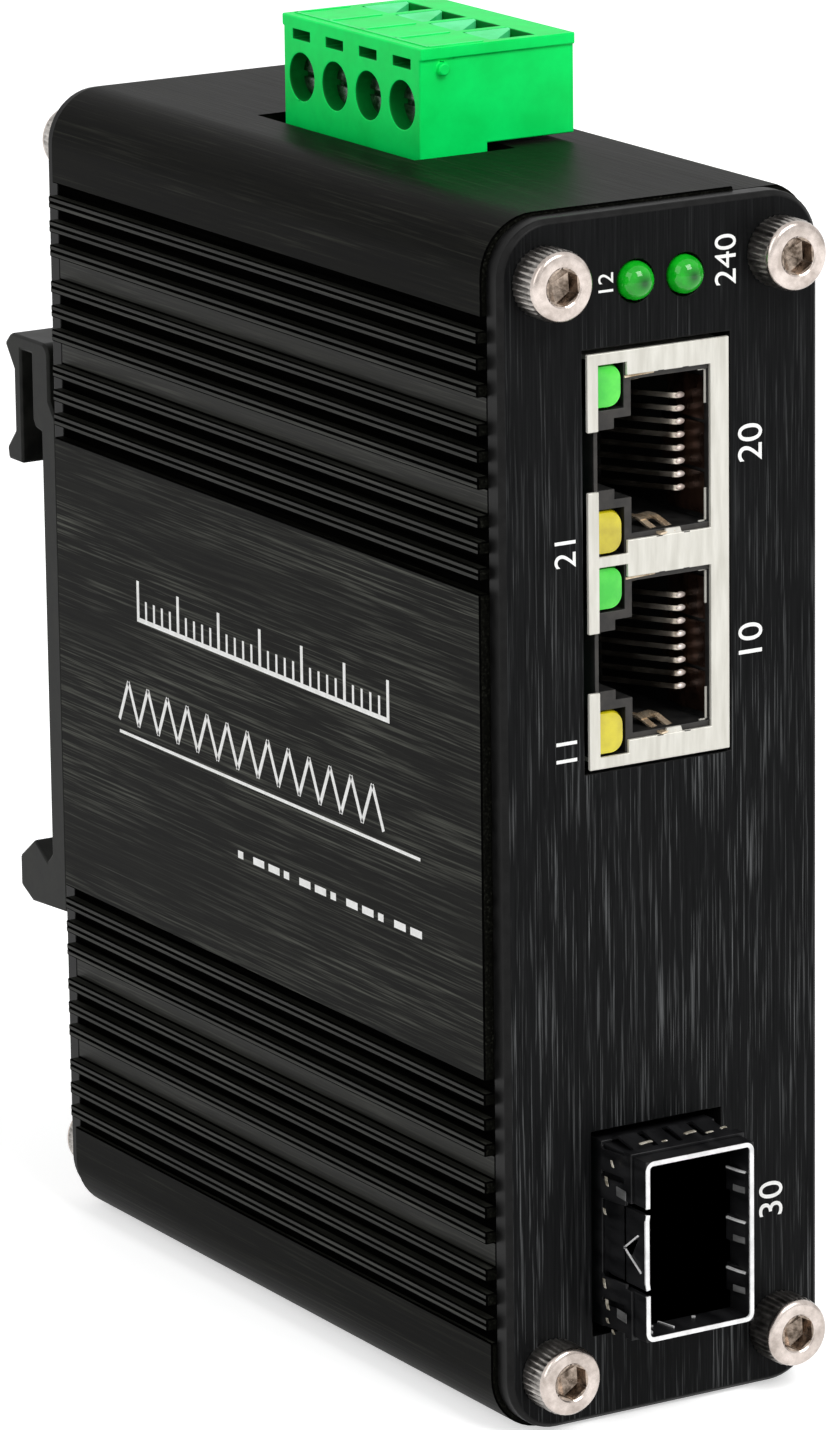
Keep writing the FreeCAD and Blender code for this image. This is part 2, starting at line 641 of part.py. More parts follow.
def build_front_panel():
    body = panel_blank("front_panel", -1)
    jack = new_sketch(body, "XZ_Plane", "jack_middle_x", f"{JACK_MIDDLE} - {MIDDLE}")
    drill(body, draw_rectangle(jack, "jack_width + 2 * jack_window_gap",
                               f"{JACK_HEIGHT} + 2 * jack_window_gap"))
    cage = new_sketch(body, "XZ_Plane", "cage_middle_x", f"cage_middle_z - {MIDDLE}")
    drill(body, draw_rectangle(cage, f"cage_width + 2 * {COLLAR_OUT}", f"cage_height + 2 * {COLLAR_OUT}"))
    for x in LIGHT_SPOTS:
        light = new_sketch(body, "XZ_Plane", x, f"{LIGHT_LEVEL} - {MIDDLE}")
        drill(body, draw_circle(light, "light_radius + light_gap"))
    keep(body, "front_panel")


def build_rear_panel():
    body = panel_blank("rear_panel", 1)
    for level in CLIP_SCREWS:
        hole = new_sketch(body, "XZ_Plane", "0", f"{level} - {MIDDLE}")
        drill(body, draw_circle(hole, "screw_radius + screw_fit"))
    keep(body, "rear_panel")


def socket_screw(x, z, face, sign, outward, inward):
    """An M3 socket-head screw standing on a panel."""
    shoulder = f"{face} {sign} (head_height - head_edge)"
    shank = cylinder(inward, x, face, z, "screw_radius", "screw_length")
    head = cylinder(outward, x, face, z, "head_radius", "head_height - head_edge")
    crown = cone(outward, x, shoulder, z, "head_radius", "head_radius - head_edge", "head_edge")
    hexagon = prism(inward, x, f"{face} {sign} head_height", z, "hex_radius", "hex_depth")
    return cut(fuse([shank, head, crown]), [hexagon])


def build_panel_screws():
    corners = [(f"{side}{SCREW_X}", f"{MIDDLE} {end} {SCREW_Z}")
               for side in ("", "-") for end in ("+", "-")]
    front = [socket_screw(x, z, FRONT, "-", "-Y", "Y") for x, z in corners]
    rear = [socket_screw(x, z, BACK, "+", "Y", "-Y") for x, z in corners]
    keep(group(front), "front_panel_screws")
    keep(group(rear), "rear_panel_screws")


# ---- DIN clip --------------------------------------------------------------

def build_din_clip():
    """A profile in Y and Z: lower hook, strip, and a sprung upper hook whose slot opens down."""
    body = new_body("din_clip")
    bind(body, "Placement.Base.y", BACK)
    bind(body, "Placement.Base.z", CLIP_BOTTOM)
    leg = "clip_gap + clip_leg"
    finger_in = f"{leg} + clip_slot"
    finger_out = f"{finger_in} + clip_finger"
    corners = [
        ("0", "clip_ease"),
        ("0", "clip_heel + clip_leg / 2"),
        ("clip_gap", "clip_heel + clip_leg"),
        ("clip_gap", "clip_height"),
        (f"{finger_out} + clip_ease", "clip_height"),
        ("clip_reach", "clip_height - clip_flare"),
        (finger_out, "clip_height - clip_top_bend"),
        (finger_out, "clip_lip + clip_mouth_bend"),
        ("clip_reach", "clip_lip + clip_flare"),
        ("clip_reach - clip_ease / 2", "clip_lip"),
        (finger_in, "clip_lip"),
        (finger_in, "clip_height - clip_slot_end"),
        (leg, "clip_height - clip_slot_end"),
        (leg, "clip_heel + 2 * clip_ease"),
        (f"{leg} - clip_ease", "clip_heel + clip_ease / 2"),
        ("clip_strip", "clip_heel"),
        ("clip_strip", "clip_notch + 2 * clip_ease"),
        ("clip_strip + 2 * clip_ease", "clip_notch"),
        ("clip_reach - clip_hook_in", "clip_lower_lip"),
        ("clip_reach - clip_ease", "clip_notch - clip_flare / 2"),
        ("clip_reach - clip_ease", "clip_flare"),
        ("clip_reach - clip_foot_in", "0"),
    ]
    profile = draw_outline(new_sketch(body, "YZ_Plane"), corners)
    strip = pad(body, profile, "case_width - 2 * panel_side_inset - 2 * clip_side_inset", midplane=True)
    top = worth("clip_height")
    bend = edges_where(strip, lambda edge: along(edge, Vector(1, 0, 0))
                       and abs(edge.BoundBox.ZMin - top) < 1e-6)
    round_edges(body, strip, bend, "clip_gap")
    holes = []
    for level in CLIP_SCREWS:
        holes.append(cylinder("Y", "0", f"{BACK} - clip_ease", level, "screw_radius + panel_hole_gap",
                              "2 * clip_strip"))
        holes.append(cone("Y", "0", f"{BACK} + clip_strip - screw_radius", level,
                          "screw_radius + panel_hole_gap", "2 * screw_radius + panel_hole_gap",
                          "screw_radius"))
    keep(cut(body, holes), "din_clip")


def build_clip_screws():
    """Countersunk screws through the clip into the rear panel."""
    screws = []
    for level in CLIP_SCREWS:
        shank = cylinder("-Y", "0", f"{BACK} + clip_strip", level, "screw_radius",
                         "clip_strip + panel_thick + clip_ease")
        head = cone("Y", "0", f"{BACK} + clip_strip - screw_radius", level, "screw_radius",
                    "2 * screw_radius", "screw_radius")
        hexagon = prism("-Y", "0", f"{BACK} + clip_strip", level, "clip_hex_radius", "hex_depth / 2")
        screws.append(cut(fuse([shank, head]), [hexagon]))
    keep(group(screws), "din_clip_screws")


# ---- board -----------------------------------------------------------------

BOARD_NEAR = "(-case_length / 2 + board_front_gap)"
BOARD_BOTTOM = "(case_wall + board_gap)"


def pole_y(index):
    return f"(plug_middle_y + {index - 1.5} * pole_pitch)"


def build_board():
    plate = box("board_face - board_thick", BOARD_NEAR, BOARD_BOTTOM, "board_thick", "board_length",
                f"case_height - 2 * {BOARD_BOTTOM}")
    window = box("board_face - 2 * board_thick", f"plug_middle_y - {HEADER_LENGTH} / 2 - 2 * header_wall",
                 "case_height - case_wall - guide_rise", "4 * board_thick",
                 f"{HEADER_LENGTH} + 4 * header_wall", "case_height")
    holes = [cylinder("X", "board_face - 2 * board_thick", pole_y(index), PIN_LEVEL,
                      "pin_hole_radius", "4 * board_thick") for index in range(4)]
    keep(cut(plate, holes + [window]), "main_board")


def centred_block(x, y, z, across, along_case, up):
    """A block that starts at x and is centred in Y and Z."""
    return box(x, f"{y} - ({along_case}) / 2", f"{z} - ({up}) / 2", across, along_case, up)


def build_board_parts():
    for name, *sizes in BOARD_PARTS:
        keep(centred_block("board_face", f"{name}_along", f"case_height - {name}_drop", f"{name}_rise",
                           f"{name}_length", f"{name}_height"), name)
    along_case = f"({JACK_FACE} + jack_depth + transformer_gap + transformer_length / 2)"
    keep(group([centred_block("board_face", along_case, level, "transformer_rise", "transformer_length",
                              "transformer_height") for level in PORT_LEVELS]), "lan_transformers")
    cans = [cylinder("X", "board_face", "capacitor_y",
                     f"case_height - capacitor_drop {sign} capacitor_pitch / 2",
                     "capacitor_radius", "capacitor_height") for sign in ("-", "+")]
    keep(group(cans), "power_capacitors")


# ---- RJ45 jack -------------------------------------------------------------

PORT_LEVELS = [f"({JACK_MIDDLE} + port_pitch / 2)", f"({JACK_MIDDLE} - port_pitch / 2)"]
PORT_RIGHT = "(jack_middle_x + jack_width / 2 - port_right_rim)"
PORT_STEP = f"({PORT_RIGHT} - plug_width)"
JACK_INSIDE = f"({JACK_FACE} + jack_sheet)"
LAMP_LEFT = f"({JACK_LEFT} + port_left_rim)"
LAMP_ZONE = "(port_pitch - lamp_zone_rim)"


def build_jack_shield():
    """Folded sheet: a face with two ports, a roof, two sides and a back."""
    face = centred_box("jack_middle_x", JACK_FACE, JACK_MIDDLE, "jack_width", "jack_sheet", JACK_HEIGHT)
    shell_width = "(jack_middle_x + jack_width / 2 - board_face)"
    shell = box("board_face", JACK_FACE, f"{JACK_MIDDLE} - {JACK_HEIGHT} / 2 + board_gap", shell_width,
                "jack_depth", f"{JACK_HEIGHT} - 2 * board_gap")
    inside = box("board_face - jack_sheet", JACK_INSIDE,
                 f"{JACK_MIDDLE} - {JACK_HEIGHT} / 2 + board_gap + jack_sheet", shell_width,
                 "jack_depth - 2 * jack_sheet", f"{JACK_HEIGHT} - 2 * board_gap - 2 * jack_sheet")
    windows = []
    for level in PORT_LEVELS:
        windows.append(box(f"{LAMP_LEFT} + lamp_zone_width - jack_sheet", f"{JACK_FACE} - jack_sheet",
                           f"{level} - port_height / 2",
                           f"{PORT_RIGHT} - {LAMP_LEFT} - lamp_zone_width + jack_sheet",
                           "3 * jack_sheet", "port_height"))
        windows.append(box(LAMP_LEFT, f"{JACK_FACE} - jack_sheet", f"{level} - {LAMP_ZONE} / 2",
                           "lamp_zone_width", "3 * jack_sheet", LAMP_ZONE))
        windows.append(box(f"{JACK_LEFT} - jack_sheet", f"{JACK_FACE} - jack_sheet",
                           f"{level} - tongue_height / 2", "port_left_rim + 2 * jack_sheet",
                           "3 * jack_sheet", "tongue_height"))
    keep(cut(fuse([face, shell]), [inside] + windows), "rj45_shield")


def build_jack_insulator():
    """Moulded body with a stepped socket and two light pockets for each port."""
    bottom = f"({JACK_MIDDLE} - {JACK_HEIGHT} / 2 + board_gap + jack_sheet)"
    block = box("board_face", JACK_INSIDE, bottom, "jack_middle_x + jack_width / 2 - jack_sheet - board_face",
                "jack_depth - 2 * jack_sheet", f"{JACK_HEIGHT} - 2 * board_gap - 2 * jack_sheet")
    cuts = []
    for level in PORT_LEVELS:
        start = f"{JACK_INSIDE} - jack_sheet"
        cuts.append(centred_block(PORT_STEP, f"{start} + plug_depth / 2", level, "plug_width",
                                  "plug_depth", "plug_height"))
        cuts.append(centred_block(f"{PORT_STEP} - latch_width", f"{start} + plug_depth / 2", level,
                                  "2 * latch_width", "plug_depth", "latch_height"))
        cuts.append(centred_block("board_face + jack_sheet", f"{start} + plug_depth / 2", level,
                                  f"{PORT_STEP} - board_face", "plug_depth", "tongue_height"))
        for sign in ("+", "-"):
            cuts.append(box("board_face - jack_sheet", start,
                            f"{level} {sign} lamp_span / 2 - lamp_height / 2 - lamp_gap",
                            "jack_sheet + lamp_width + 3 * lamp_gap",
                            "jack_sheet + lamp_depth + lamp_gap",
                            "lamp_height + 2 * lamp_gap"))
    keep(cut(block, cuts), "rj45_insulator")


def build_jack_contacts():
    """Eight wires to a port: a short riser at the mouth, then a slope into the socket."""
    wires = []
    for level in PORT_LEVELS:
        for index in range(8):
            base = f"({level} + {index - 3.5} * contact_pitch - contact_wire / 2)"
            near = f"({JACK_INSIDE} + contact_set)"
            riser = box(f"{PORT_RIGHT} - contact_top", near, base, "contact_top", "contact_wire",
                        "contact_wire")
            slope = box(f"{PORT_RIGHT} - contact_top", near, base, "contact_wire", "contact_run",
                        "contact_wire")
            lean(slope, "contact_lean", "contact_run")
            wires.append(fuse([riser, slope]))
    keep(group(wires), "rj45_contacts")


def build_jack_lights():
    for name, sign in (("rj45_green_leds", "+"), ("rj45_yellow_leds", "-")):
        lamps = []
        for level in PORT_LEVELS:
            body = new_body(name)
            bind(body, "Placement.Base.x", "board_face + lamp_gap + lamp_width / 2")
            bind(body, "Placement.Base.y", f"{JACK_INSIDE} + lamp_gap")
            bind(body, "Placement.Base.z", f"{level} {sign} lamp_span / 2")
            lens = pad(body, draw_rectangle(new_sketch(body, "XZ_Plane"), "lamp_width", "lamp_height"),
                       "lamp_depth", reverse=True)
            corners = edges_where(lens, lambda edge: along(edge, Vector(0, 1, 0))
                                  and edge.BoundBox.XMin > 0)
            round_edges(body, lens, corners, "lamp_width / 3")
            lamps.append(body)
        keep(group(lamps), name)


# ---- SFP cage --------------------------------------------------------------

CAGE_RIGHT = "(cage_middle_x + cage_width / 2)"
CAGE_DEPTH = "(cage_length + cage_proud)"


def build_cage():
    """Folded sheet tube with a slit latch tongue on the board side and spring tabs inside."""
    shell = centred_box("cage_middle_x", CAGE_MOUTH, "cage_middle_z", "cage_width", CAGE_DEPTH,
                        "cage_height")
    inside = centred_box("cage_middle_x", f"{CAGE_MOUTH} - cage_sheet", "cage_middle_z",
                         "cage_width - 2 * cage_sheet", CAGE_DEPTH, "cage_height - 2 * cage_sheet")
    cuts = [inside]
    for sign in ("+", "-"):
        cuts.append(centred_block(f"{CAGE_LEFT} - cage_sheet", f"{CAGE_MOUTH} + tongue_length / 2",
                                  f"cage_middle_z {sign} (tongue_span + tongue_slit) / 2",
                                  "3 * cage_sheet", "tongue_length + cage_sheet", "tongue_slit"))
    triangle = prism("X", f"{CAGE_LEFT} - cage_sheet", f"{CAGE_MOUTH} + catch_set", "cage_middle_z",
                     "catch_radius", "3 * cage_sheet")
    triangle.Polygon = 3
    cuts.append(triangle)
    cuts.append(box(f"{CAGE_LEFT} - cage_sheet",
                    f"{FRONT} + cage_length - edge_connector_depth - 2 * cage_sheet",
                    "cage_middle_z - edge_connector_height / 2 - board_gap", "4 * cage_sheet",
                    "edge_connector_depth + cage_sheet", "edge_connector_height + 2 * board_gap"))
    cage = cut(shell, cuts)
    tabs = []
    for index in (-1, 0, 1):
        tab = box(f"{CAGE_RIGHT} - cage_sheet", f"{CAGE_MOUTH} + tab_set",
                  f"cage_middle_z + {index} * tab_pitch - tab_width / 2", "cage_sheet / 2", "tab_length",
                  "tab_width")
        lean(tab, "tab_lean", "tab_length")
        tabs.append(tab)
    keep(fuse([cage] + tabs), "sfp_cage")


def finger_row(x, z, turn, count, start):
    """A row of bent fingers; turn swings the row's outward side from +X about Y."""
    body = new_body("fingers")
    body.Placement = Placement(Vector(), Rotation(Vector(0, 1, 0), turn))
    bind(body, "Placement.Base.x", x)
    bind(body, "Placement.Base.y", f"{FRONT} - collar_length + collar_ring")
    bind(body, "Placement.Base.z", z)
    corners = [("0", "0"), ("collar_sheet", "0"), ("finger_bulge + collar_sheet", "finger_crest"),
               ("collar_sheet", "collar_length - collar_ring"), ("0", "collar_length - collar_ring"),
               ("finger_bulge", "finger_crest")]
    sketch = draw_outline(new_sketch(body, "XY_Plane", "0", "0", start), corners)
    first = pad(body, sketch, "finger_width")
    row = body.newObject("PartDesign::LinearPattern", "Row")
    row.Originals = [first]
    row.Direction = (origin_item(body, "Z_Axis"), [""])
    row.Occurrences = count
    row.Refine = False
    bind(row, "Length", f"{count - 1} * (finger_width + finger_gap)")
    body.Tip = row
    return body


def build_collar():
    """A sheet ring round the cage with bent spring fingers that meet the panel opening."""
    def ring(near, length):
        outer = centred_box("cage_middle_x", near, "cage_middle_z", "cage_width + 2 * collar_sheet", length,
                            "cage_height + 2 * collar_sheet")
        inner = centred_box("cage_middle_x", f"{near} - overcut", "cage_middle_z", "cage_width",
                            f"{length} + 2 * overcut", "cage_height")
        return cut(outer, [inner])

    def row_start(count):
        return f"-({count} * finger_width + {count - 1} * finger_gap) / 2"

    tongue_gap = box(f"{CAGE_LEFT} - 3 * collar_sheet", f"{CAGE_MOUTH}",
                     "cage_middle_z - tongue_span / 2 - tongue_slit", "3 * collar_sheet",
                     "cage_proud - collar_behind", "tongue_span + 2 * tongue_slit")
    rings = [cut(ring(f"{FRONT} - collar_length", "collar_ring + collar_sheet"), [tongue_gap]),
             ring(f"{FRONT} - collar_sheet", "collar_sheet + collar_behind")]
    top = "(cage_middle_z + cage_height / 2)"
    bottom = "(cage_middle_z - cage_height / 2)"
    rows = [finger_row(CAGE_RIGHT, "cage_middle_z", 0, 6, row_start(6)),
            finger_row(CAGE_LEFT, "cage_middle_z + finger_row_set", 180, 2, row_start(2)),
            finger_row(CAGE_LEFT, "cage_middle_z - finger_row_set", 180, 2, row_start(2)),
            finger_row("cage_middle_x", top, -90, 4, row_start(4)),
            finger_row("cage_middle_x", bottom, 90, 4, row_start(4))]
    keep(fuse(rings + rows), "sfp_emi_fingers")


def build_edge_connector():
    block = centred_block("board_face", f"{FRONT} + cage_length - cage_sheet - edge_connector_depth / 2",
                          "cage_middle_z", "edge_connector_rise", "edge_connector_depth",
                          "edge_connector_height")
    slot = centred_block("cage_middle_x - board_thick / 2",
                         f"{FRONT} + cage_length - cage_sheet - edge_connector_depth", "cage_middle_z",
                         "edge_slot_width", "edge_connector_depth", "edge_slot_height")
    keep(cut(block, [slot]), "sfp_connector")


# ---- status lights ---------------------------------------------------------

def build_status_lights():
    lights = []
    holder_face = f"({FRONT} + panel_thick + holder_gap)"
    for x in LIGHT_SPOTS:
        dome = f"({FRONT} - light_proud + light_radius)"
        lens = sphere(x, dome, LIGHT_LEVEL, "light_radius")
        stem = cylinder("Y", x, dome, LIGHT_LEVEL, "light_radius", f"{holder_face} - {dome}")
        lights.append(fuse([lens, stem]))
    keep(group(lights), "status_leds")
    keep(box("board_face", holder_face, f"{LIGHT_LEVEL} - holder_height / 2",
             "light_middle_x + light_span / 2 + 2 * light_radius - board_face", "holder_depth",
             "holder_height"),
         "status_led_holder")


# ---- power terminal --------------------------------------------------------

def build_header():
    outer_width = f"({HEADER_INNER} + 2 * header_wall)"
    outer_length = f"({HEADER_LENGTH} + 2 * header_wall)"
    shell = box("board_face", f"plug_middle_y - {outer_length} / 2", HEADER_BOTTOM, outer_width,
                outer_length, f"case_height - {HEADER_BOTTOM}")
    room = box("board_face + header_wall", f"plug_middle_y - {HEADER_LENGTH} / 2",
               f"{HEADER_BOTTOM} + header_floor", HEADER_INNER, HEADER_LENGTH, "case_height")
    holes = [centred_block(f"{HEADER_MIDDLE} - pin_side / 2", pole_y(index), HEADER_BOTTOM, "pin_side",
                           "pin_side", "4 * header_floor") for index in range(4)]
    keep(cut(shell, [room] + holes), "terminal_header")
    pins = []
    for index in range(4):
        y = f"{pole_y(index)} - pin_side / 2"
        foot = f"({PIN_LEVEL} - pin_side / 2)"
        stem = box(f"{HEADER_MIDDLE} - pin_side / 2", y, foot, "pin_side", "pin_side",
                   f"{HEADER_BOTTOM} + header_floor + pin_rise - {foot}")
        tail_start = "(board_face - board_thick - pin_side)"
        tail = box(tail_start, y, foot, f"{HEADER_MIDDLE} - {tail_start}", "pin_side", "pin_side")
        pins.append(fuse([stem, tail]))
    keep(group(pins), "header_pins")


def build_plug():
    """Housing with four screw shafts, test slots, wire entries, clamp pockets and pin channels."""
    upper = box("plug_left", PLUG_NEAR, PLUG_BASE, "plug_across", PLUG_LENGTH, "plug_rise")
    insert = box(f"{HEADER_MIDDLE} - insert_width / 2", PLUG_NEAR, f"{PLUG_BASE} - insert_depth",
                 "insert_width", PLUG_LENGTH, "insert_depth + ledge_drop")
    nubs = cylinder("Y", "plug_left + nub_set", f"{PLUG_NEAR} - ledge_depth", f"{PLUG_TOP} - nub_drop",
                    "nub_radius", f"{PLUG_LENGTH} + 2 * ledge_depth")
    cuts = []
    for start in (f"{PLUG_NEAR} - ledge_depth", f"{PLUG_NEAR} + {PLUG_LENGTH} - ledge_depth"):
        cuts.append(box("plug_left + end_step", start, f"{PLUG_BASE} - ledge_drop", "plug_across",
                        "2 * ledge_depth", "plug_rise"))
    for index in range(4):
        cuts += pole_cuts(pole_y(index))
    keep(cut(fuse([upper, insert, nubs]), cuts), "terminal_plug")


def pole_cuts(y):
    pocket_start = f"({CLAMP_HOME} - clamp_travel - clamp_gap)"
    pocket_width = "(clamp_across + clamp_travel + 2 * clamp_gap)"
    return [
        cylinder("X", "plug_left - overcut", y, SCREW_LEVEL, "screw_hole_radius",
                 f"{HEAD_SEAT} - plug_left + overcut"),
        cylinder("X", HEAD_SEAT, y, SCREW_LEVEL, "clamp_screw_radius + clamp_gap", "2 * clamp_shoulder"),
        centred_block(pocket_start, y, SCREW_LEVEL, pocket_width, "clamp_width + 2 * clamp_gap",
                      "clamp_height + 2 * clamp_gap"),
        centred_block("plug_left - overcut", y, f"{PLUG_TOP} - slot_drop - slot_height / 2",
                      "slot_depth + overcut", "slot_width", "slot_height"),
        box(f"{WIRE_LEFT}", f"{y} - wire_hole_side / 2", SCREW_LEVEL, "wire_hole_across", "wire_hole_side",
            "plug_rise"),
        box(f"{WIRE_LEFT} - wire_funnel", f"{y} - wire_hole_side / 2 - wire_funnel / 2",
            f"{PLUG_TOP} - wire_funnel", "wire_hole_across + 2 * wire_funnel",
            "wire_hole_side + wire_funnel", "plug_rise"),
        centred_block(f"{HEADER_MIDDLE} - pin_channel / 2", y, f"{PLUG_BASE} - insert_depth / 2",
                      "pin_channel", "pin_channel", f"insert_depth + 2 * {BRIDGE_TOP}"),
        box(f"{HEADER_MIDDLE} - pin_channel / 2", f"{y} - pin_channel / 2", f"{PLUG_BASE} + bridge_floor",
            f"{BAR_LEFT} + bar_thick + clamp_gap - {HEADER_MIDDLE} + pin_channel / 2", "pin_channel",
            f"{BRIDGE_TOP} - bridge_floor + clamp_gap"),
        box(f"{BAR_LEFT} - clamp_gap", f"{y} - bar_width / 2 - clamp_gap", f"{PLUG_BASE} + bridge_floor",
            "bar_thick + 2 * clamp_gap", "bar_width + 2 * clamp_gap", "clamp_height + 2 * bar_thick"),
    ]


def build_plug_contacts():
    """Two leaves on each pin, a bridge, and the current bar that the clamp pulls the wire on to."""
    contacts = []
    for index in range(4):
        y = pole_y(index)
        bottom = f"({PLUG_BASE} - insert_depth + bar_thick)"
        deep = f"({PLUG_BASE} + {BRIDGE_TOP} - {bottom})"
        left = f"({HEADER_MIDDLE} - pin_side)"
        leaves = [box(left, f"{y} + pin_side / 2 + pin_fit", bottom, "2 * pin_side", "leaf_thick", deep),
                  box(left, f"{y} - pin_side / 2 - pin_fit - leaf_thick", bottom, "2 * pin_side",
                      "leaf_thick", deep)]
        bridge = box(left, f"{y} - bar_width / 2", f"{PLUG_BASE} + bridge_floor",
                     f"{BAR_LEFT} + bar_thick - {left}", "bar_width", "bar_thick")
        bar = box(BAR_LEFT, f"{y} - bar_width / 2", f"{PLUG_BASE} + bridge_floor", "bar_thick", "bar_width",
                  f"{SCREW_LEVEL} + clamp_height / 2 - {PLUG_BASE} - bridge_floor")
        contacts.append(fuse(leaves + [bridge, bar]))
    keep(group(contacts), "plug_contacts")


def build_clamps():
    for index in range(4):
        y = pole_y(index)
        head = cylinder("X", f"{HEAD_SEAT} - clamp_head_length", y, SCREW_LEVEL, "clamp_head_radius",
                        "clamp_head_length")
        shank = cylinder("X", HEAD_SEAT, y, SCREW_LEVEL, "clamp_screw_radius",
                         f"{BAR_LEFT} - clamp_fit - {HEAD_SEAT}")
        slot = centred_block(f"{HEAD_SEAT} - 1.5 * clamp_head_length", y, SCREW_LEVEL, "clamp_head_length",
                             "clamp_slot", "3 * clamp_head_radius")
        keep(cut(fuse([head, shank]), [slot]), f"terminal_screw_{index + 1}")
        cage = centred_block(CLAMP_HOME, y, SCREW_LEVEL, "clamp_across", "clamp_width", "clamp_height")
        hollow = centred_block(f"{CLAMP_HOME} + clamp_thread_wall", y, SCREW_LEVEL,
                               "clamp_across - clamp_thread_wall - clamp_sheet",
                               "clamp_width - 2 * clamp_sheet", "2 * clamp_height")
        thread = cylinder("X", f"{CLAMP_HOME} - clamp_gap", y, SCREW_LEVEL,
                          "clamp_screw_radius + clamp_fit", "clamp_thread_wall + 2 * clamp_gap")
        keep(cut(cage, [hollow, thread]), f"wire_clamp_{index + 1}")


# ---- everything ------------------------------------------------------------

build_case()
build_front_panel()
build_rear_panel()
build_panel_screws()
build_din_clip()
build_clip_screws()
build_board()
build_board_parts()
build_jack_shield()
build_jack_insulator()
build_jack_contacts()
build_jack_lights()
build_cage()
build_collar()
build_edge_connector()
build_status_lights()
build_header()
build_plug()
build_plug_contacts()
build_clamps()
document.recompute()

faults = [item.Name for item in document.Objects if "Invalid" in item.State or "Error" in item.State]
if faults:
    raise RuntimeError("failed objects: " + ", ".join(faults))
for piece in pieces:
    if piece.Shape.isNull() or not piece.Shape.isValid():
        raise RuntimeError("bad shape: " + piece.Label)

os.makedirs("parts", exist_ok=True)
for piece in pieces:
    piece.Shape.exportStep("parts/%s.step" % piece.Label)
    print(piece.Label, "solids", len(piece.Shape.Solids), "volume", round(piece.Shape.Volume, 1))
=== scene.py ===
import json
import math

import bmesh
import bpy
from mathutils import Matrix, Vector


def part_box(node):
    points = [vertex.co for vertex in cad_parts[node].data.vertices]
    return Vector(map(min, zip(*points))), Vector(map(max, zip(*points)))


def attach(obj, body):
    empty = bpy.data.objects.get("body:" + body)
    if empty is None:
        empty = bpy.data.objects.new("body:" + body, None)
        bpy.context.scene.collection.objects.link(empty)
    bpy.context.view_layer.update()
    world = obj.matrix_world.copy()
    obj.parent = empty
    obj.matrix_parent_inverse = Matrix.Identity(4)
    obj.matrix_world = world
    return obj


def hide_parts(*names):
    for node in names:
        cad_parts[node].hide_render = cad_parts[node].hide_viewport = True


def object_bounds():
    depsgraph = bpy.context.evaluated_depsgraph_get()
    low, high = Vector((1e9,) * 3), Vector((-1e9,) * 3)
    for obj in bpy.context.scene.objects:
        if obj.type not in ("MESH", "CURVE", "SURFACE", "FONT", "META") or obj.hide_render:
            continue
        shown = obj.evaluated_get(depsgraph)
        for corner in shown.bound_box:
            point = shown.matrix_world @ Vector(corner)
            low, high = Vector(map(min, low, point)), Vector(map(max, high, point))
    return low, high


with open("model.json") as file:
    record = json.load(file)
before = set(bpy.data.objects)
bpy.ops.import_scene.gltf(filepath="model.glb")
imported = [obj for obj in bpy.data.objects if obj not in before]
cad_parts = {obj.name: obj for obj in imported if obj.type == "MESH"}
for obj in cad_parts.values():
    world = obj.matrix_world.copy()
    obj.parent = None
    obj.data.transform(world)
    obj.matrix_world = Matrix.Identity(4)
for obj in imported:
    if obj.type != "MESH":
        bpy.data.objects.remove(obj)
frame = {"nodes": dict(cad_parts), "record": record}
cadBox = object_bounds()
nodes = frame["nodes"]
bodyOf = {}
for body, members in frame["record"]["behaviour"]["bodies"].items():
    for node in members:
        bodyOf[node] = body
mm = 0.001
hair = 0.01 * mm  # what lies nearer than this counts as level


def lengths(**sizes):
    # lengths written in millimetres
    return {name: size * mm for name, size in sizes.items()}


print("frame loaded:", len(nodes), "nodes")


# finishes

maskOff = (0, 0, 0)
maskOn = (1, 1, 1)
textureLook = dict(lengths(height=0.03), noise=0.6, stops=(0.35, 0.65), detail=4.0, streakDetail=3.0,
    roughDetail=2.0, patchDetail=2.0, patchStops=(0.3, 0.66), patchFaint=(0.12, 0.12, 0.12))
shaderSockets = dict(specular="Specular IOR Level", metal="Metallic", coat="Coat Weight",
    coatRoughness="Coat Roughness")


def addNode(tree, kind, settings=(), **inputs):
    node = tree.nodes.new(kind)
    for name, value in dict(settings).items():
        setattr(node, name, value)
    for name, value in inputs.items():
        node.inputs[name].default_value = value
    return node


def addMath(tree, operation, first, second=None):
    # each operand is a socket or a number
    node = addNode(tree, "ShaderNodeMath", {"operation": operation})
    for socket, value in zip(node.inputs, (first, second)):
        if isinstance(value, bpy.types.NodeSocket):
            tree.links.new(value, socket)
        elif value is not None:
            socket.default_value = value
    return node.outputs[0]


def addRemap(tree, value, ends):
    node = addNode(tree, "ShaderNodeMapRange", **ends)
    tree.links.new(value, node.inputs["Value"])
    return node.outputs["Result"]


def addMix(tree, mask, under, over):
    node = addNode(tree, "ShaderNodeMix", {"data_type": "RGBA"})
    node.inputs["B"].default_value = (*over, 1)
    tree.links.new(mask, node.inputs["Factor"])
    tree.links.new(under, node.inputs["A"])
    return node.outputs["Result"]


def axisSockets(tree):
    # X, Y and Z on the piece, in metres
    place = addNode(tree, "ShaderNodeTexCoord")
    split = addNode(tree, "ShaderNodeSeparateXYZ")
    tree.links.new(place.outputs["Object"], split.inputs[0])
    return split.outputs


def grainTexture(tree, scale, detail):
    # noise stretched along the axes of the piece, in metres
    place = addNode(tree, "ShaderNodeTexCoord")
    if not isinstance(scale, tuple):
        scale = (scale, scale, scale)
    stretch = addNode(tree, "ShaderNodeMapping", Scale=scale)
    noise = addNode(tree, "ShaderNodeTexNoise", Scale=1.0, Detail=detail, Roughness=textureLook["noise"])
    tree.links.new(place.outputs["Object"], stretch.inputs["Vector"])
    tree.links.new(stretch.outputs["Vector"], noise.inputs["Vector"])
    return noise.outputs["Fac"]


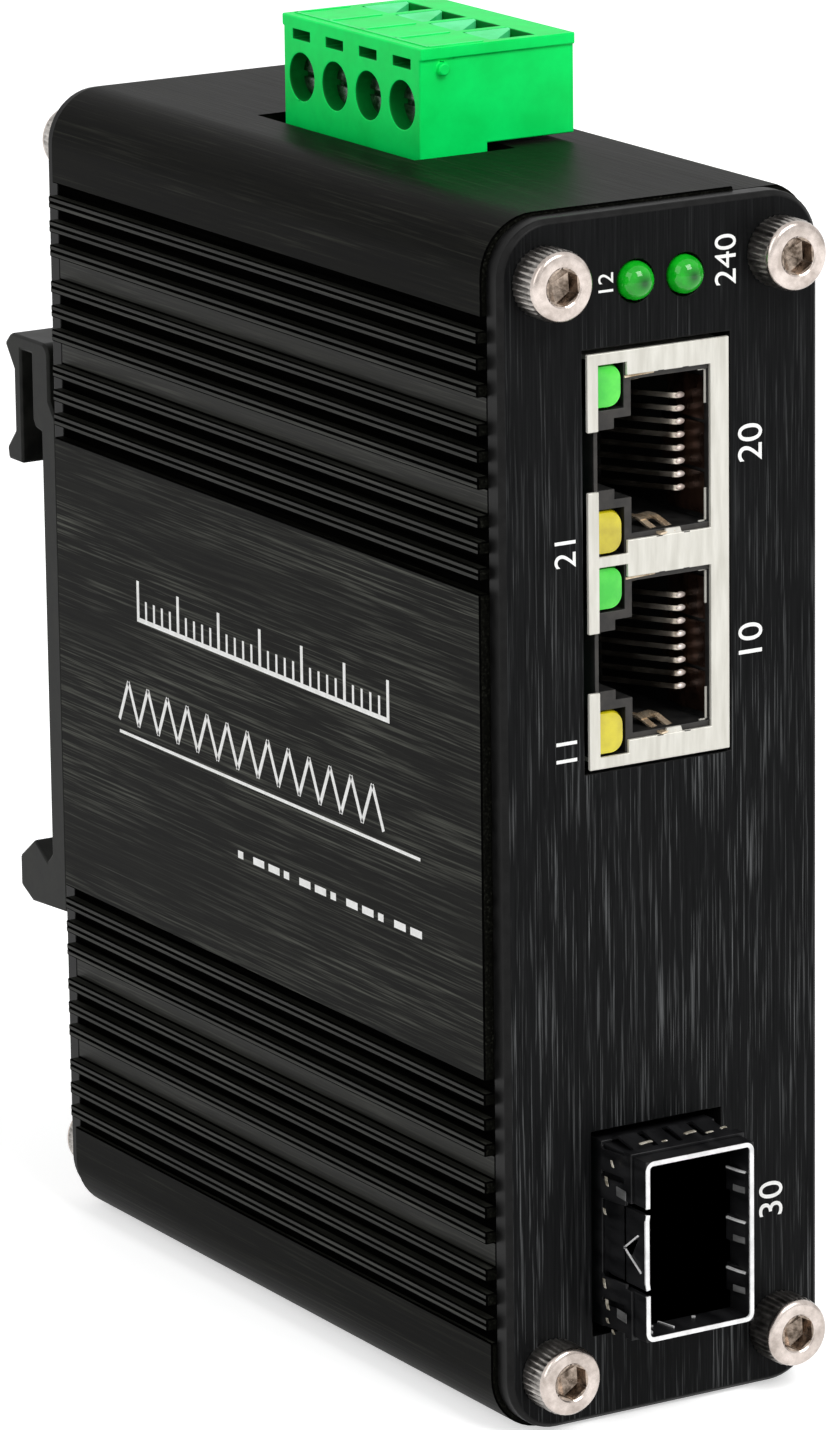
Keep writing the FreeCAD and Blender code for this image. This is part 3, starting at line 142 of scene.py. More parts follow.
def rampBetween(tree, factor, stops, first, last):
    ramp = addNode(tree, "ShaderNodeValToRGB")
    for element, position, colour in zip(ramp.color_ramp.elements, stops, (first, last)):
        element.position = position
        element.color = (*colour, 1)
    tree.links.new(factor, ramp.inputs["Fac"])
    return ramp.outputs["Color"]


def addHeart(tree, colour, heart):
    # a dark round heart in each of the two domes, left and right of the middle
    axes = axisSockets(tree)
    across = addMath(tree, "SUBTRACT", addMath(tree, "ABSOLUTE", axes["X"]), heart["across"])
    upwards = addMath(tree, "SUBTRACT", axes["Z"], heart["level"])
    squares = [addMath(tree, "POWER", offset, 2) for offset in (across, upwards)]
    away = addMath(tree, "SQRT", addMath(tree, "ADD", *squares))
    share = addMath(tree, "DIVIDE", away, heart["reach"])
    return addMix(tree, rampBetween(tree, share, heart["stops"], maskOn, maskOff), colour, heart["colour"])


def streakMask(tree, streak):
    # fine brushed lines, in patches, which may also fade along one axis
    lines = grainTexture(tree, streak["grain"], textureLook["streakDetail"])
    mask = rampBetween(tree, lines, streak["stops"], maskOff, maskOn)
    cloud = grainTexture(tree, streak["patches"], textureLook["patchDetail"])
    patches = rampBetween(tree, cloud, textureLook["patchStops"], textureLook["patchFaint"], maskOn)
    mask = addMath(tree, "MULTIPLY", mask, patches)
    if "fade" in streak:
        axis, *ends = streak["fade"]
        ends = dict(zip(("From Min", "From Max", "To Min", "To Max"), ends))
        mask = addMath(tree, "MULTIPLY", mask, addRemap(tree, axisSockets(tree)[axis], ends))
    return mask


def makeFinish(name, look):
    material = bpy.data.materials.new(name)
    material.use_nodes = True
    tree = material.node_tree
    shader = tree.nodes["Principled BSDF"]
    for key, socket in shaderSockets.items():
        if key in look:
            shader.inputs[socket].default_value = look[key]
    grain = grainTexture(tree, look["grain"], textureLook["detail"])
    colour = rampBetween(tree, grain, look.get("stops", textureLook["stops"]), look["dark"], look["light"])
    if "streak" in look:
        colour = addMix(tree, streakMask(tree, look["streak"]), colour, look["streak"]["colour"])
    if "heart" in look:
        colour = addHeart(tree, colour, look["heart"])
    tree.links.new(colour, shader.inputs["Base Color"])
    wear = grainTexture(tree, look["grain"], textureLook["roughDetail"])
    gloss = addRemap(tree, wear, dict(zip(("To Min", "To Max"), look["roughness"])))
    tree.links.new(gloss, shader.inputs["Roughness"])
    bump = addNode(tree, "ShaderNodeBump", Strength=look["bump"],
                   Distance=look.get("height", textureLook["height"]))
    tree.links.new(grain, bump.inputs["Height"])
    tree.links.new(bump.outputs["Normal"], shader.inputs["Normal"])
    return material


finishLooks = {
    # black anodised extrusion, drawn along its length
    "anodisedCase": dict(dark=(0.001, 0.00105, 0.0008), light=(0.004, 0.0041, 0.0031),
        grain=(5200, 90, 5200), roughness=(0.36, 0.5), bump=0.5, specular=0.025,
        streak=dict(grain=(5000, 70, 5000), stops=(0.54, 0.8), colour=(0.03, 0.031, 0.024),
            patches=(160, 20, 160))),
    # painted light on the ribs and painted shade in the grooves between them, and the plain cut edges of the
    # plates
    "litRibs": dict(dark=(0.005, 0.0052, 0.0041), light=(0.016, 0.0165, 0.0132), grain=(4200, 70, 4200),
        roughness=(0.36, 0.5), bump=0.5, specular=0.1,
        streak=dict(grain=(5200, 100, 5200), stops=(0.5, 0.75), colour=(0.06, 0.061, 0.052),
            patches=(200, 26, 200))),
    "plateEdge": dict(dark=(0.002, 0.002, 0.002), light=(0.006, 0.006, 0.006), grain=900,
        roughness=(0.35, 0.5), bump=0.1, specular=0.12),
    "grooveShade": dict(dark=(0.0005, 0.0005, 0.0005), light=(0.0018, 0.0018, 0.0016),
        grain=(4200, 70, 4200), roughness=(0.6, 0.75), bump=0.3, specular=0),
    # the flat panel in the middle of each side is brushed brighter
    "brushedLabel": dict(dark=(0.0022, 0.0023, 0.0019), light=(0.0075, 0.0077, 0.0064),
        grain=(5200, 110, 5200), roughness=(0.36, 0.5), bump=0.5, specular=0.03,
        streak=dict(grain=(6000, 85, 6000), stops=(0.5, 0.72), colour=(0.092, 0.095, 0.08),
            patches=(190, 24, 190))),
    # black plate, brushed up and down, brighter towards its foot
    "brushedPlate": dict(dark=(0.0024, 0.0026, 0.0028), light=(0.0065, 0.0068, 0.0072),
        grain=(5200, 5200, 110), roughness=(0.36, 0.52), bump=0.4, height=0.02 * mm, specular=0.05,
        streak=dict(grain=(6300, 6300, 105), stops=(0.55, 0.75), colour=(0.15, 0.155, 0.158),
            patches=(260, 260, 30), fade=("Z", 0.095, 0.05, 0.12, 1.0))),
    # turned screw heads, bright on top, with painted shade down the knurl and inside the hexagon socket
    "turnedSteel": dict(dark=(0.4, 0.345, 0.31), light=(0.66, 0.585, 0.54), grain=700,
        roughness=(0.18, 0.32), bump=0.1, metal=1.0),
    "hexShade": dict(dark=(0.08, 0.06, 0.045), light=(0.42, 0.34, 0.28), grain=1500, roughness=(0.18, 0.3),
        bump=0.4, metal=1.0),
    "knurlShade": dict(dark=(0.16, 0.15, 0.14), light=(0.5, 0.47, 0.44), grain=900, roughness=(0.25, 0.4),
        bump=0.2, metal=1.0),
    # clamp screws down in the plug's holes: dark steel as painted shade, with a green cast of painted
    # reflection from the housing
    "clampShade": dict(dark=(0.03, 0.05, 0.035), light=(0.3, 0.36, 0.32), grain=1500,
        roughness=(0.18, 0.32), bump=0.15, metal=1.0),
    # the other metals, plastics and prints
    "clipEnamel": dict(dark=(0.004, 0.0043, 0.0038), light=(0.014, 0.0145, 0.0125), grain=500,
        roughness=(0.4, 0.55), bump=0.25, height=0.05 * mm, specular=0.12),
    "nickelSheet": dict(dark=(0.54, 0.525, 0.47), light=(0.67, 0.655, 0.6), grain=(1400, 1400, 160),
        roughness=(0.34, 0.5), bump=0.12, metal=0.3),
    "socketPlastic": dict(dark=(0.004, 0.004, 0.004), light=(0.012, 0.0115, 0.011), grain=900,
        roughness=(0.42, 0.6), bump=0.2, specular=0.3),
    # the socket's front frame, a lighter black than the plastic behind it, as painted light
    "frameLitPlastic": dict(dark=(0.013, 0.012, 0.011), light=(0.032, 0.029, 0.026), grain=900,
        roughness=(0.4, 0.55), bump=0.2, specular=0.35),
    "contactWire": dict(dark=(0.16, 0.13, 0.1), light=(0.62, 0.56, 0.48), grain=500, roughness=(0.14, 0.3),
        bump=0.1, metal=1.0),
    # pale painted highlights on the wires' bends
    "wireGlint": dict(dark=(0.62, 0.5, 0.44), light=(0.95, 0.86, 0.8), grain=600, roughness=(0.25, 0.4),
        bump=0.05, metal=0.3),
    "bronzeStrip": dict(dark=(0.5, 0.37, 0.24), light=(0.9, 0.76, 0.58), grain=(900, 500, 900),
        roughness=(0.2, 0.36), bump=0.12, metal=0.8),
    "darkBronze": dict(dark=(0.012, 0.006, 0.004), light=(0.06, 0.03, 0.02), grain=(500, 500, 300),
        roughness=(0.2, 0.36), bump=0.12, metal=0.7),
    # the cage's bright sheet metal painted near black, as painted shade
    "shadedCage": dict(dark=(0.004, 0.004, 0.0045), light=(0.014, 0.014, 0.015), grain=(900, 200, 900),
        roughness=(0.24, 0.4), bump=0.2, specular=0.2),
    # grey painted light on the lit faces of the tabs and fingers
    "litSpring": dict(dark=(0.1, 0.1, 0.1), light=(0.3, 0.3, 0.3), grain=(900, 300, 900),
        roughness=(0.25, 0.4), bump=0.15, metal=0.5),
    # pale painted highlights on lit cut edges
    "edgeGlint": dict(dark=(0.68, 0.68, 0.68), light=(0.9, 0.9, 0.9), grain=900, roughness=(0.3, 0.4),
        bump=0.08, metal=0.2),
    # tan painted highlights on the fingers' bends
    "bendGlint": dict(dark=(0.3, 0.27, 0.2), light=(0.85, 0.8, 0.68), grain=2600, stops=(0.4, 0.6),
        roughness=(0.25, 0.4), bump=0.2, metal=0.4),
    # green mouldings: the plug's inside is darkest with painted shade, the slopes in its wire entries palest
    # with painted light
    "housingShade": dict(dark=(0, 0.12, 0.015), light=(0, 0.22, 0.03), grain=260, roughness=(0.42, 0.55),
        bump=0.12, specular=0.1),
    "housingGreen": dict(dark=(0, 0.74, 0.11), light=(0, 0.86, 0.14), grain=260, roughness=(0.38, 0.5),
        bump=0.12, specular=0.12),
    "ridgeGreen": dict(dark=(0, 0.72, 0.13), light=(0.02, 0.84, 0.2), grain=360, roughness=(0.34, 0.46),
        bump=0.1, specular=0.2),
    "facetLit": dict(dark=(0.02, 0.7, 0.18), light=(0.09, 0.82, 0.32), grain=360, roughness=(0.34, 0.46),
        bump=0.1, specular=0.35),
    # the header down in the case's cut-out, a near-black green as painted shade
    "headerShade": dict(dark=(0, 0.05, 0.012), light=(0, 0.1, 0.02), grain=260, roughness=(0.4, 0.52),
        bump=0.12, specular=0.3),
    "lampGreen": dict(dark=(0.01, 0.52, 0.012), light=(0.07, 0.74, 0.04), grain=300, roughness=(0.1, 0.2),
        bump=0.05, coat=0.5, coatRoughness=0.08),
    "lampYellow": dict(dark=(0.42, 0.34, 0.003), light=(0.66, 0.57, 0.01), grain=300,
        roughness=(0.12, 0.22), bump=0.05, coat=0.4, coatRoughness=0.1),
    "domeGreen": dict(dark=(0.001, 0.33, 0.008), light=(0.006, 0.46, 0.015), grain=900,
        roughness=(0.05, 0.12), bump=0.04, specular=0.35, coat=0.15, coatRoughness=0.04,
        heart=dict(across=0.0022, level=0.0892, stops=(0.1, 0.6), reach=0.0015, colour=(0, 0.09, 0.006))),
    "boardMask": dict(dark=(0.004, 0.06, 0.03), light=(0.01, 0.11, 0.05), grain=420, roughness=(0.3, 0.42),
        bump=0.2, coat=0.3),
    "chipBlack": dict(dark=(0.01, 0.01, 0.01), light=(0.025, 0.025, 0.026), grain=1500,
        roughness=(0.5, 0.65), bump=0.3, specular=0.3),
    "canSilver": dict(dark=(0.5, 0.5, 0.5), light=(0.72, 0.72, 0.72), grain=(200, 900, 900),
        roughness=(0.25, 0.4), bump=0.1, metal=0.9),
    "printWhite": dict(dark=(0.8, 0.8, 0.78), light=(0.93, 0.93, 0.92), grain=1300, roughness=(0.5, 0.62),
        bump=0.1, specular=0.2),
}
finishes = {name: makeFinish(name, look) for name, look in finishLooks.items()}
print("finishes made:", len(finishes))


# pieces

softLook = dict(lengths(weld=0.002), flatAngle=0.004, cornerAngle=40, segments=2, sharp=35)


def takeFinish(piece, finish):
    piece.data.materials.clear()
    piece.data.materials.append(finishes[finish])


def placePiece(name, mesh, finish, slot, body="root", replaced=(), sharp=40):
    piece = bpy.data.objects.new(name, mesh)
    bpy.context.scene.collection.objects.link(piece)
    mesh.shade_smooth()
    mesh.set_sharp_from_angle(angle=math.radians(sharp))
    takeFinish(piece, finish)
    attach(piece, body)
    if replaced:
        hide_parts(*replaced)
    return piece


def addFinish(piece, finish, chosen):
    # gives a second finish to the faces that chosen(centre, face) picks
    piece.data.materials.append(finishes[finish])
    for face in piece.data.polygons:
        if chosen(face.center, face):
            face.material_index = len(piece.data.materials) - 1


def meshFrom(name, build):
    form = bmesh.new()
    build(form)
    bmesh.ops.recalc_face_normals(form, faces=form.faces)
    mesh = bpy.data.meshes.new(name)
    form.to_mesh(mesh)
    form.free()
    return mesh


def addPiece(name, build, finish, slot, **rest):
    return placePiece(name, meshFrom(name, build), finish, slot, **rest)


def softenedPiece(name, node, finish, slot, width, shape=None):
    # the node's own form with its sharp edges eased
    form = bmesh.new()
    form.from_mesh(nodes[node].data)
    bmesh.ops.remove_doubles(form, verts=form.verts, dist=softLook["weld"])
    if shape:
        shape(form)
        bmesh.ops.remove_doubles(form, verts=form.verts, dist=softLook["weld"])
    bmesh.ops.dissolve_limit(form, angle_limit=softLook["flatAngle"], verts=form.verts, edges=form.edges)
    mesh = bpy.data.meshes.new(name)
    form.to_mesh(mesh)
    form.free()
    piece = placePiece(name, mesh, finish, slot, bodyOf[node], (node,), softLook["sharp"])
    ease = piece.modifiers.new("ease", "BEVEL")
    ease.width = width
    ease.segments = softLook["segments"]
    ease.limit_method = "ANGLE"
    ease.angle_limit = math.radians(softLook["cornerAngle"])
    ease.use_clamp_overlap = False
    even = piece.modifiers.new("even", "WEIGHTED_NORMAL")
    even.keep_sharp = True
    return piece


def cutAt(form, level):
    # splits every face that crosses this height
    everything = form.verts[:] + form.edges[:] + form.faces[:]
    bmesh.ops.bisect_plane(form, geom=everything, plane_co=(0, 0, level), plane_no=(0, 0, 1))


def bridgeRings(form, rings, closed=False):
    # joins rings of the same count into a tube
    for first, second in zip(rings, rings[1:]):
        for step in range(len(first)):
            after = (step + 1) % len(first)
            form.faces.new((first[step], first[after], second[after], second[step]))
    if closed:
        form.faces.new(rings[0])
        form.faces.new(rings[-1])


def smoothPath(points, steps):
    # a rounded line through the given points
    points = [Vector(point) for point in points]
    ends = [2 * points[0] - points[1]] + points + [2 * points[-1] - points[-2]]
    path = []
    for index in range(1, len(ends) - 2):
        before, start, end, after = ends[index - 1:index + 3]
        for step in range(steps):
            t = step / steps
            bend = 2 * before - 5 * start + 4 * end - after
            twist = 3 * start - before - 3 * end + after
            path.append(0.5 * (2 * start + (end - before) * t + bend * t ** 2 + twist * t ** 3))
    path.append(points[-1])
    return path


def pathFrom(origin, points):
    # points in millimetres, counted from an origin
    return [Vector(origin) + Vector(point) * mm for point in points]


def addStrip(form, path, across, width, thick):
    # a flat strip with square edges that follows a path
    across = Vector(across).normalized()
    rings = []
    for index, point in enumerate(path):
        ahead = path[min(index + 1, len(path) - 1)]
        behind = path[max(index - 1, 0)]
        normal = (ahead - behind).cross(across).normalized()
        rings.append([form.verts.new(point + across * (width / 2) * a + normal * (thick / 2) * b)
                      for a, b in ((-1, -1), (1, -1), (1, 1), (-1, 1))])
    bridgeRings(form, rings, True)


def addBar(form, start, end, across, width, thick):
    addStrip(form, [Vector(start), Vector(end)], across, width, thick)


def addRing(form, centre, side, other, count, reachAt, turn=0):
    # reachAt(angle) gives how far each point stands from the centre
    ring = []
    for step in range(count):
        angle = 2 * math.pi * (step + turn) / count
        spoke = side * math.cos(angle) + other * math.sin(angle)
        ring.append(form.verts.new(centre + spoke * reachAt(angle)))
    return ring


def addTurned(form, profile, origin, outward, count, ridges=0, depth=0.0, closed=True):
    # profile: radius, height and whether the ring is knurled
    axis = Vector(outward).normalized()
    side = axis.orthogonal().normalized()
    other = axis.cross(side)
    rings = []
    for radius, height, knurled in profile:
        cut = depth if knurled else 0
        rings.append(addRing(form, Vector(origin) + axis * height, side, other, count,
                             lambda angle: radius - cut * (0.5 - 0.5 * math.cos(angle * ridges))))
    bridgeRings(form, rings, closed)
    return rings


def addPrism(form, outline, lift):
    # a flat outline carried along a vector
    near = [form.verts.new(Vector(point)) for point in outline]
    far = [form.verts.new(Vector(point) + Vector(lift)) for point in outline]
    bridgeRings(form, (near, far), True)


# case

caseLook = dict(lengths(ease=0.12, plateEase=0.08, clipEase=0.22, labelSink=0.03, labelHalf=19.05,
    ribbedHalf=40.1, firstRib=20.5, ribStep=2.0, groupStep=7.0, ribDepth=0.95, scoreHalf=0.13,
    scoreDeep=0.05, narrowFloor=1.3, labelDeep=0.1, floorDeep=0.3, scoreReach=0.06), facing=0.9,
    scoreLean=(0.1, 0.6))
caseLow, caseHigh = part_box("case_extrusion")
caseMiddle = (caseLow.z + caseHigh.z) / 2


def sinkLabels(form):
    # the label panels lie a hair lower, so that the print on them stays inside the case's width
    for vert in form.verts:
        outer = abs(abs(vert.co.x) - caseHigh.x) < hair
        if outer and abs(vert.co.z - caseMiddle) < caseLook["labelHalf"]:
            vert.co.x -= math.copysign(caseLook["labelSink"], vert.co.x)


def scoreRibs(form):
    # a shallow line runs along the middle of every rib, in three groups of three
    for index in range(9):
        away = caseLook["firstRib"] + index % 3 * caseLook["ribStep"] + index // 3 * caseLook["groupStep"]
        for middle in (caseMiddle + away, caseMiddle - away):
            for shift in (-caseLook["scoreHalf"], 0, caseLook["scoreHalf"]):
                cutAt(form, middle + shift)
            for vert in form.verts:
                if abs(vert.co.z - middle) < hair and abs(vert.co.x) > caseHigh.x - 2 * hair:
                    vert.co.x -= math.copysign(caseLook["scoreDeep"], vert.co.x)


def isLabel(centre, face):
    outer = abs(centre.x) > caseHigh.x - caseLook["labelDeep"]
    return outer and abs(centre.z - caseMiddle) < caseLook["labelHalf"]


def isRibbed(centre):
    return caseLook["labelHalf"] < abs(centre.z - caseMiddle) < caseLook["ribbedHalf"]


def isRib(centre, face):
    # the ribs' flats and the shoulders above them, which take painted light
    lit = abs(face.normal.x) > caseLook["facing"] or face.normal.z > caseLook["facing"]
    return isRibbed(centre) and abs(centre.x) > caseHigh.x - caseLook["ribDepth"] and lit


def isGroove(centre, face):
    # the narrow floors between neighbouring ribs, the score lines and the ribs' undersides, which take
    # painted shade
    look = caseLook
    levels = [caseShell.data.vertices[index].co.z for index in face.vertices]
    narrow = max(levels) - min(levels) < look["narrowFloor"]
    deep = caseHigh.x - abs(centre.x)
    floor = narrow and abs(face.normal.x) > look["facing"] and deep > look["floorDeep"]
    least, most = look["scoreLean"]
    score = deep < look["scoreReach"] and least < abs(face.normal.z) < most
    return isRibbed(centre) and (floor or score or face.normal.z < -look["facing"])


caseShell = softenedPiece("caseShell", "case_extrusion", "anodisedCase", "case_black", caseLook["ease"],
                          sinkLabels)
scored = bmesh.new()
scored.from_mesh(caseShell.data)
scoreRibs(scored)
scored.to_mesh(caseShell.data)
scored.free()
addFinish(caseShell, "brushedLabel", isLabel)
# painted light: the rib faces take the lighter copy of the anodised finish
addFinish(caseShell, "litRibs", isRib)
# painted shade in the grooves, along the score lines and under the ribs
addFinish(caseShell, "grooveShade", isGroove)
# painted shade on the eased edges, drawn with the grooves' shaded finish
caseShell.modifiers["ease"].material = 3  # the eased edges read as thin black lines
for name, node in (("frontPlate", "front_panel"), ("rearPlate", "rear_panel")):
    plate = softenedPiece(name, node, "brushedPlate", "panel_black", caseLook["plateEase"])
    addFinish(plate, "plateEdge", lambda centre, face: abs(face.normal.y) < caseLook["facing"])
    plate.modifiers["ease"].material = 1
softenedPiece("railClip", "din_clip", "clipEnamel", "clip_black", caseLook["clipEase"])
print("case, plates and clip dressed")


# panel screws

screwLook = dict(lengths(headRadius=2.75, headHeight=3.0, ridgeDepth=0.15, ridgeFoot=0.15, ridgeTop=2.3,
    ridgeFade=0.2, knurlEnd=0.14, crown=0.42, shankRadius=1.5, shankLength=8.0, seatChamfer=0.15,
    hexCorner=1.45, hexDepth=1.4, hexTip=0.45, hexPast=0.5, mouth=0.12, mouthDeep=0.1), ridges=36,
    stepsPerRidge=8, ridgeShare=0.6, crownSteps=4, hexTurn=0.2, hexShare=0.99)
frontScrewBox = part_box("front_panel_screws")
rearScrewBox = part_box("rear_panel_screws")


def addSocketScrew(form, seat, outward):
    look = screwLook
    top = look["headHeight"]
    r = look["headRadius"]
    inset = r - look["ridgeDepth"] * look["ridgeShare"]
    profile = [(look["shankRadius"], -look["shankLength"], False), (look["shankRadius"], 0, False),
               (r - look["seatChamfer"], 0, False), (r, look["ridgeFoot"], True), (r, look["ridgeTop"], True),
               (inset, look["ridgeTop"] + look["ridgeFade"], False)]
    for step in range(look["crownSteps"] + 1):
        angle = step / look["crownSteps"] * math.pi / 2
        radius = inset - look["crown"] * (1 - math.cos(angle))
        profile.append((radius, top - look["crown"] * (1 - math.sin(angle)), False))
    profile.append((look["hexCorner"] + look["mouth"], top, False))
    profile.append((look["hexCorner"], top - look["mouthDeep"], False))
    count = look["ridges"] * look["stepsPerRidge"]
    rings = addTurned(form, profile, seat, outward, count, look["ridges"], look["ridgeDepth"], False)
    form.faces.new(rings[0])
    # the hexagon is sunk into the head and ends in a blunt cone
    axis = Vector(outward)
    side = axis.orthogonal().normalized()
    other = axis.cross(side)

    def hexReach(angle):
        corner = (angle + look["hexTurn"]) % (math.pi / 3) - math.pi / 6
        return look["hexCorner"] * math.cos(math.pi / 6) / math.cos(corner)

    walls = [rings[-1]]
    for depth in (look["mouth"], look["hexDepth"]):
        walls.append(addRing(form, Vector(seat) + axis * (top - depth), side, other, count, hexReach))
    bridgeRings(form, walls)
    tip = form.verts.new(Vector(seat) + axis * (top - look["hexDepth"] - look["hexTip"]))
    for step in range(count):
        form.faces.new((walls[-1][step], walls[-1][(step + 1) % count], tip))


def isHexWall(centre, face):
    # inside the hexagon of the nearest screw, past its mouth
    low, high = frontScrewBox if centre.y < 0 else rearScrewBox
    look = screwLook
    r = look["headRadius"]
    x = min((low.x + r, high.x - r), key=lambda spot: abs(spot - centre.x))
    z = min((low.z + r, high.z - r), key=lambda spot: abs(spot - centre.z))
    end = low.y if centre.y < 0 else high.y
    near = math.hypot(centre.x - x, centre.z - z) < look["hexCorner"] * look["hexShare"]
    return near and look["mouth"] / 2 < abs(centre.y - end) < look["hexDepth"] + look["hexPast"]


def buildPanelScrews(name, node, ends, outward):
    low, high = ends
    r = screwLook["headRadius"]
    seat = low.y + screwLook["headHeight"] if outward[1] < 0 else high.y - screwLook["headHeight"]

    def build(form):
        for x in (low.x + r, high.x - r):
            for z in (low.z + r, high.z - r):
                addSocketScrew(form, (x, seat, z), outward)

    piece = addPiece(name, build, "turnedSteel", "screw_steel", replaced=(node,), sharp=28)
    reach = abs(seat) + screwLook["ridgeTop"] + screwLook["knurlEnd"]
    # painted shade on the knurled sides and inside the hexagon sockets
    addFinish(piece, "knurlShade", lambda centre, face: abs(centre.y) < reach)
    addFinish(piece, "hexShade", isHexWall)


buildPanelScrews("frontScrews", "front_panel_screws", frontScrewBox, (0, -1, 0))
buildPanelScrews("rearScrews", "rear_panel_screws", rearScrewBox, (0, 1, 0))
takeFinish(nodes["din_clip_screws"], "turnedSteel")
print("screws made")


# status lights

lampLook = dict(lengths(radius=1.5, point=0.02), steps=8, count=40)


def buildStatusLamps(form):
    low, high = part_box("status_leds")
    r = lampLook["radius"]
    profile = [(lampLook["point"], 0.0, False)]
    for step in range(1, lampLook["steps"] + 1):
        angle = step / lampLook["steps"] * math.pi / 2
        profile.append((r * math.sin(angle), r * (1 - math.cos(angle)), False))
    profile.append((r, high.y - low.y, False))
    for x in (low.x + r, high.x - r):
        addTurned(form, profile, (x, low.y, (low.z + high.z) / 2), (0, 1, 0), lampLook["count"])


addPiece("statusLamps", buildStatusLamps, "domeGreen", "light_green", replaced=("status_leds",), sharp=50)
print("lamps made")


# network sockets

socketLook = dict(lengths(portPitch=15.5, halfPort=6.325, rightRim=1.65, sheet=0.35, shieldEase=0.07,
    bodyEase=0.06, windowEdge=3.8, windowWiden=0.5, frameDeep=0.4))
shieldLow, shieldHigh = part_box("rj45_shield")
portRight = shieldHigh.x - socketLook["rightRim"]
shieldMiddle = (shieldLow.z + shieldHigh.z) / 2
portCentres = [shieldMiddle + socketLook["portPitch"] / 2, shieldMiddle - socketLook["portPitch"] / 2]
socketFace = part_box("rj45_insulator")[0].y


def widenLampWindows(form):
    # room for the round side of each lens
    for vert in form.verts:
        if abs(vert.co.x + socketLook["windowEdge"]) < 2 * hair:
            vert.co.x += socketLook["windowWiden"]


softenedPiece("socketShield", "rj45_shield", "nickelSheet", "shield_nickel", socketLook["shieldEase"])
socketBody = softenedPiece("socketBody", "rj45_insulator", "frameLitPlastic", "socket_black",
                           socketLook["bodyEase"], widenLampWindows)
# painted light and shade on one black plastic: the front frame lighter, the faces deeper in darker
addFinish(socketBody, "socketPlastic", lambda centre, face: centre.y > socketFace + socketLook["frameDeep"])
lensLook = dict(lengths(width=2.35, height=3.45, round=1.15, left=0.1, proud=0.2), middle=0.45, arcSteps=8,
    rings=((1.0, 1.1), (1.0, 0.45), (0.9, 0.1), (0.6, 0.02), (0.25, 0.0)))


def addLens(form, left, front, middle):
    # a light pipe with rounded right corners and a low crown
    w, h, r = lensLook["width"], lensLook["height"] / 2, lensLook["round"]
    outline = [(left, middle + h)]
    for z, start in ((middle + h - r, 90), (middle - h + r, 0)):
        for step in range(lensLook["arcSteps"] + 1):
            angle = math.radians(start - 90 * step / lensLook["arcSteps"])
            outline.append((left + w - r + r * math.cos(angle), z + r * math.sin(angle)))
    outline.append((left, middle - h))
    centre = left + w * lensLook["middle"]
    rings = []
    for share, deep in lensLook["rings"]:
        y = front + deep * mm
        rings.append([form.verts.new((centre + (x - centre) * share, y, middle + (z - middle) * share))
                      for x, z in outline])
    bridgeRings(form, rings, True)


def buildLenses(name, node, finish, slot):
    def build(form):
        low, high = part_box(node)
        half = (high.z - low.z - socketLook["portPitch"]) / 2
        for middle in (low.z + half, high.z - half):
            addLens(form, low.x + lensLook["left"], low.y - lensLook["proud"], middle)

    addPiece(name, build, finish, slot, replaced=(node,))


buildLenses("greenLenses", "rj45_green_leds", "lampGreen", "lamp_green")
buildLenses("yellowLenses", "rj45_yellow_leds", "lampYellow", "lamp_yellow")
wireLook = dict(lengths(pitch=1.02, thick=0.4, behind=2.4, knee=0.75, tipPoint=0.02, tipRadius=0.23,
    tipHalf=0.42, tipSet=0.25), count=8, flatness=0.7, tipLean=(1, 0.1, 0), tipSteps=8, tipCount=12,
    path=((0.75, 1.0, 0), (0.3, 0.3, 0), (-0.35, 0, 0), (-0.9, 0.5, 0), (-2.6, 3.2, 0), (-4.9, 7.2, 0)))


def wireKnees():
    # where each wire bends back into its port
    x = portRight - wireLook["knee"]
    y = shieldLow.y + socketLook["sheet"] + wireLook["behind"]
    first = -(wireLook["count"] - 1) / 2
    return [Vector((x, y, centre + (first + index) * wireLook["pitch"]))
            for centre in portCentres for index in range(wireLook["count"])]


def buildSocketWires(form):
    for knee in wireKnees():
        path = smoothPath(pathFrom(knee, wireLook["path"]), 6)
        addStrip(form, path, (0, 0, 1), wireLook["thick"], wireLook["thick"] * wireLook["flatness"])


def buildWireGlints(form):
    # painted highlight: a pale bead on the bend of each wire
    look = wireLook
    profile = []
    for step in range(look["tipSteps"] + 1):
        angle = math.pi * step / look["tipSteps"]
        radius = look["tipPoint"] + look["tipRadius"] * math.sin(angle)
        profile.append((radius, -look["tipHalf"] * math.cos(angle), False))
    for knee in wireKnees():
        addTurned(form, profile, knee - Vector((look["tipSet"], 0, 0)), look["tipLean"], look["tipCount"])


addPiece("socketWires", buildSocketWires, "contactWire", "contact_gold", replaced=("rj45_contacts",),
         sharp=60)
addPiece("wireGlints", buildWireGlints, "wireGlint", "contact_gold", sharp=60)
stripLook = dict(lengths(thick=0.16, tabWidth=2.0, risingFrom=4.3, hangingFrom=6.2, hangingWidth=2.6),
    rising=((0.7, 0, 0.12), (0.4, 0.8, 0.35), (-0.1, 2.0, 1.0), (-0.3, 3.0, 1.05)),
    hanging=((0, 0.1, -0.1), (0, 0.8, -0.4), (0, 2.2, -0.95)), slant=(1, 0.25, 0), tilt=(1, 0, 0.04),
    barShift=0.34, barShare=0.32, slotFrom=5, slotTo=9)


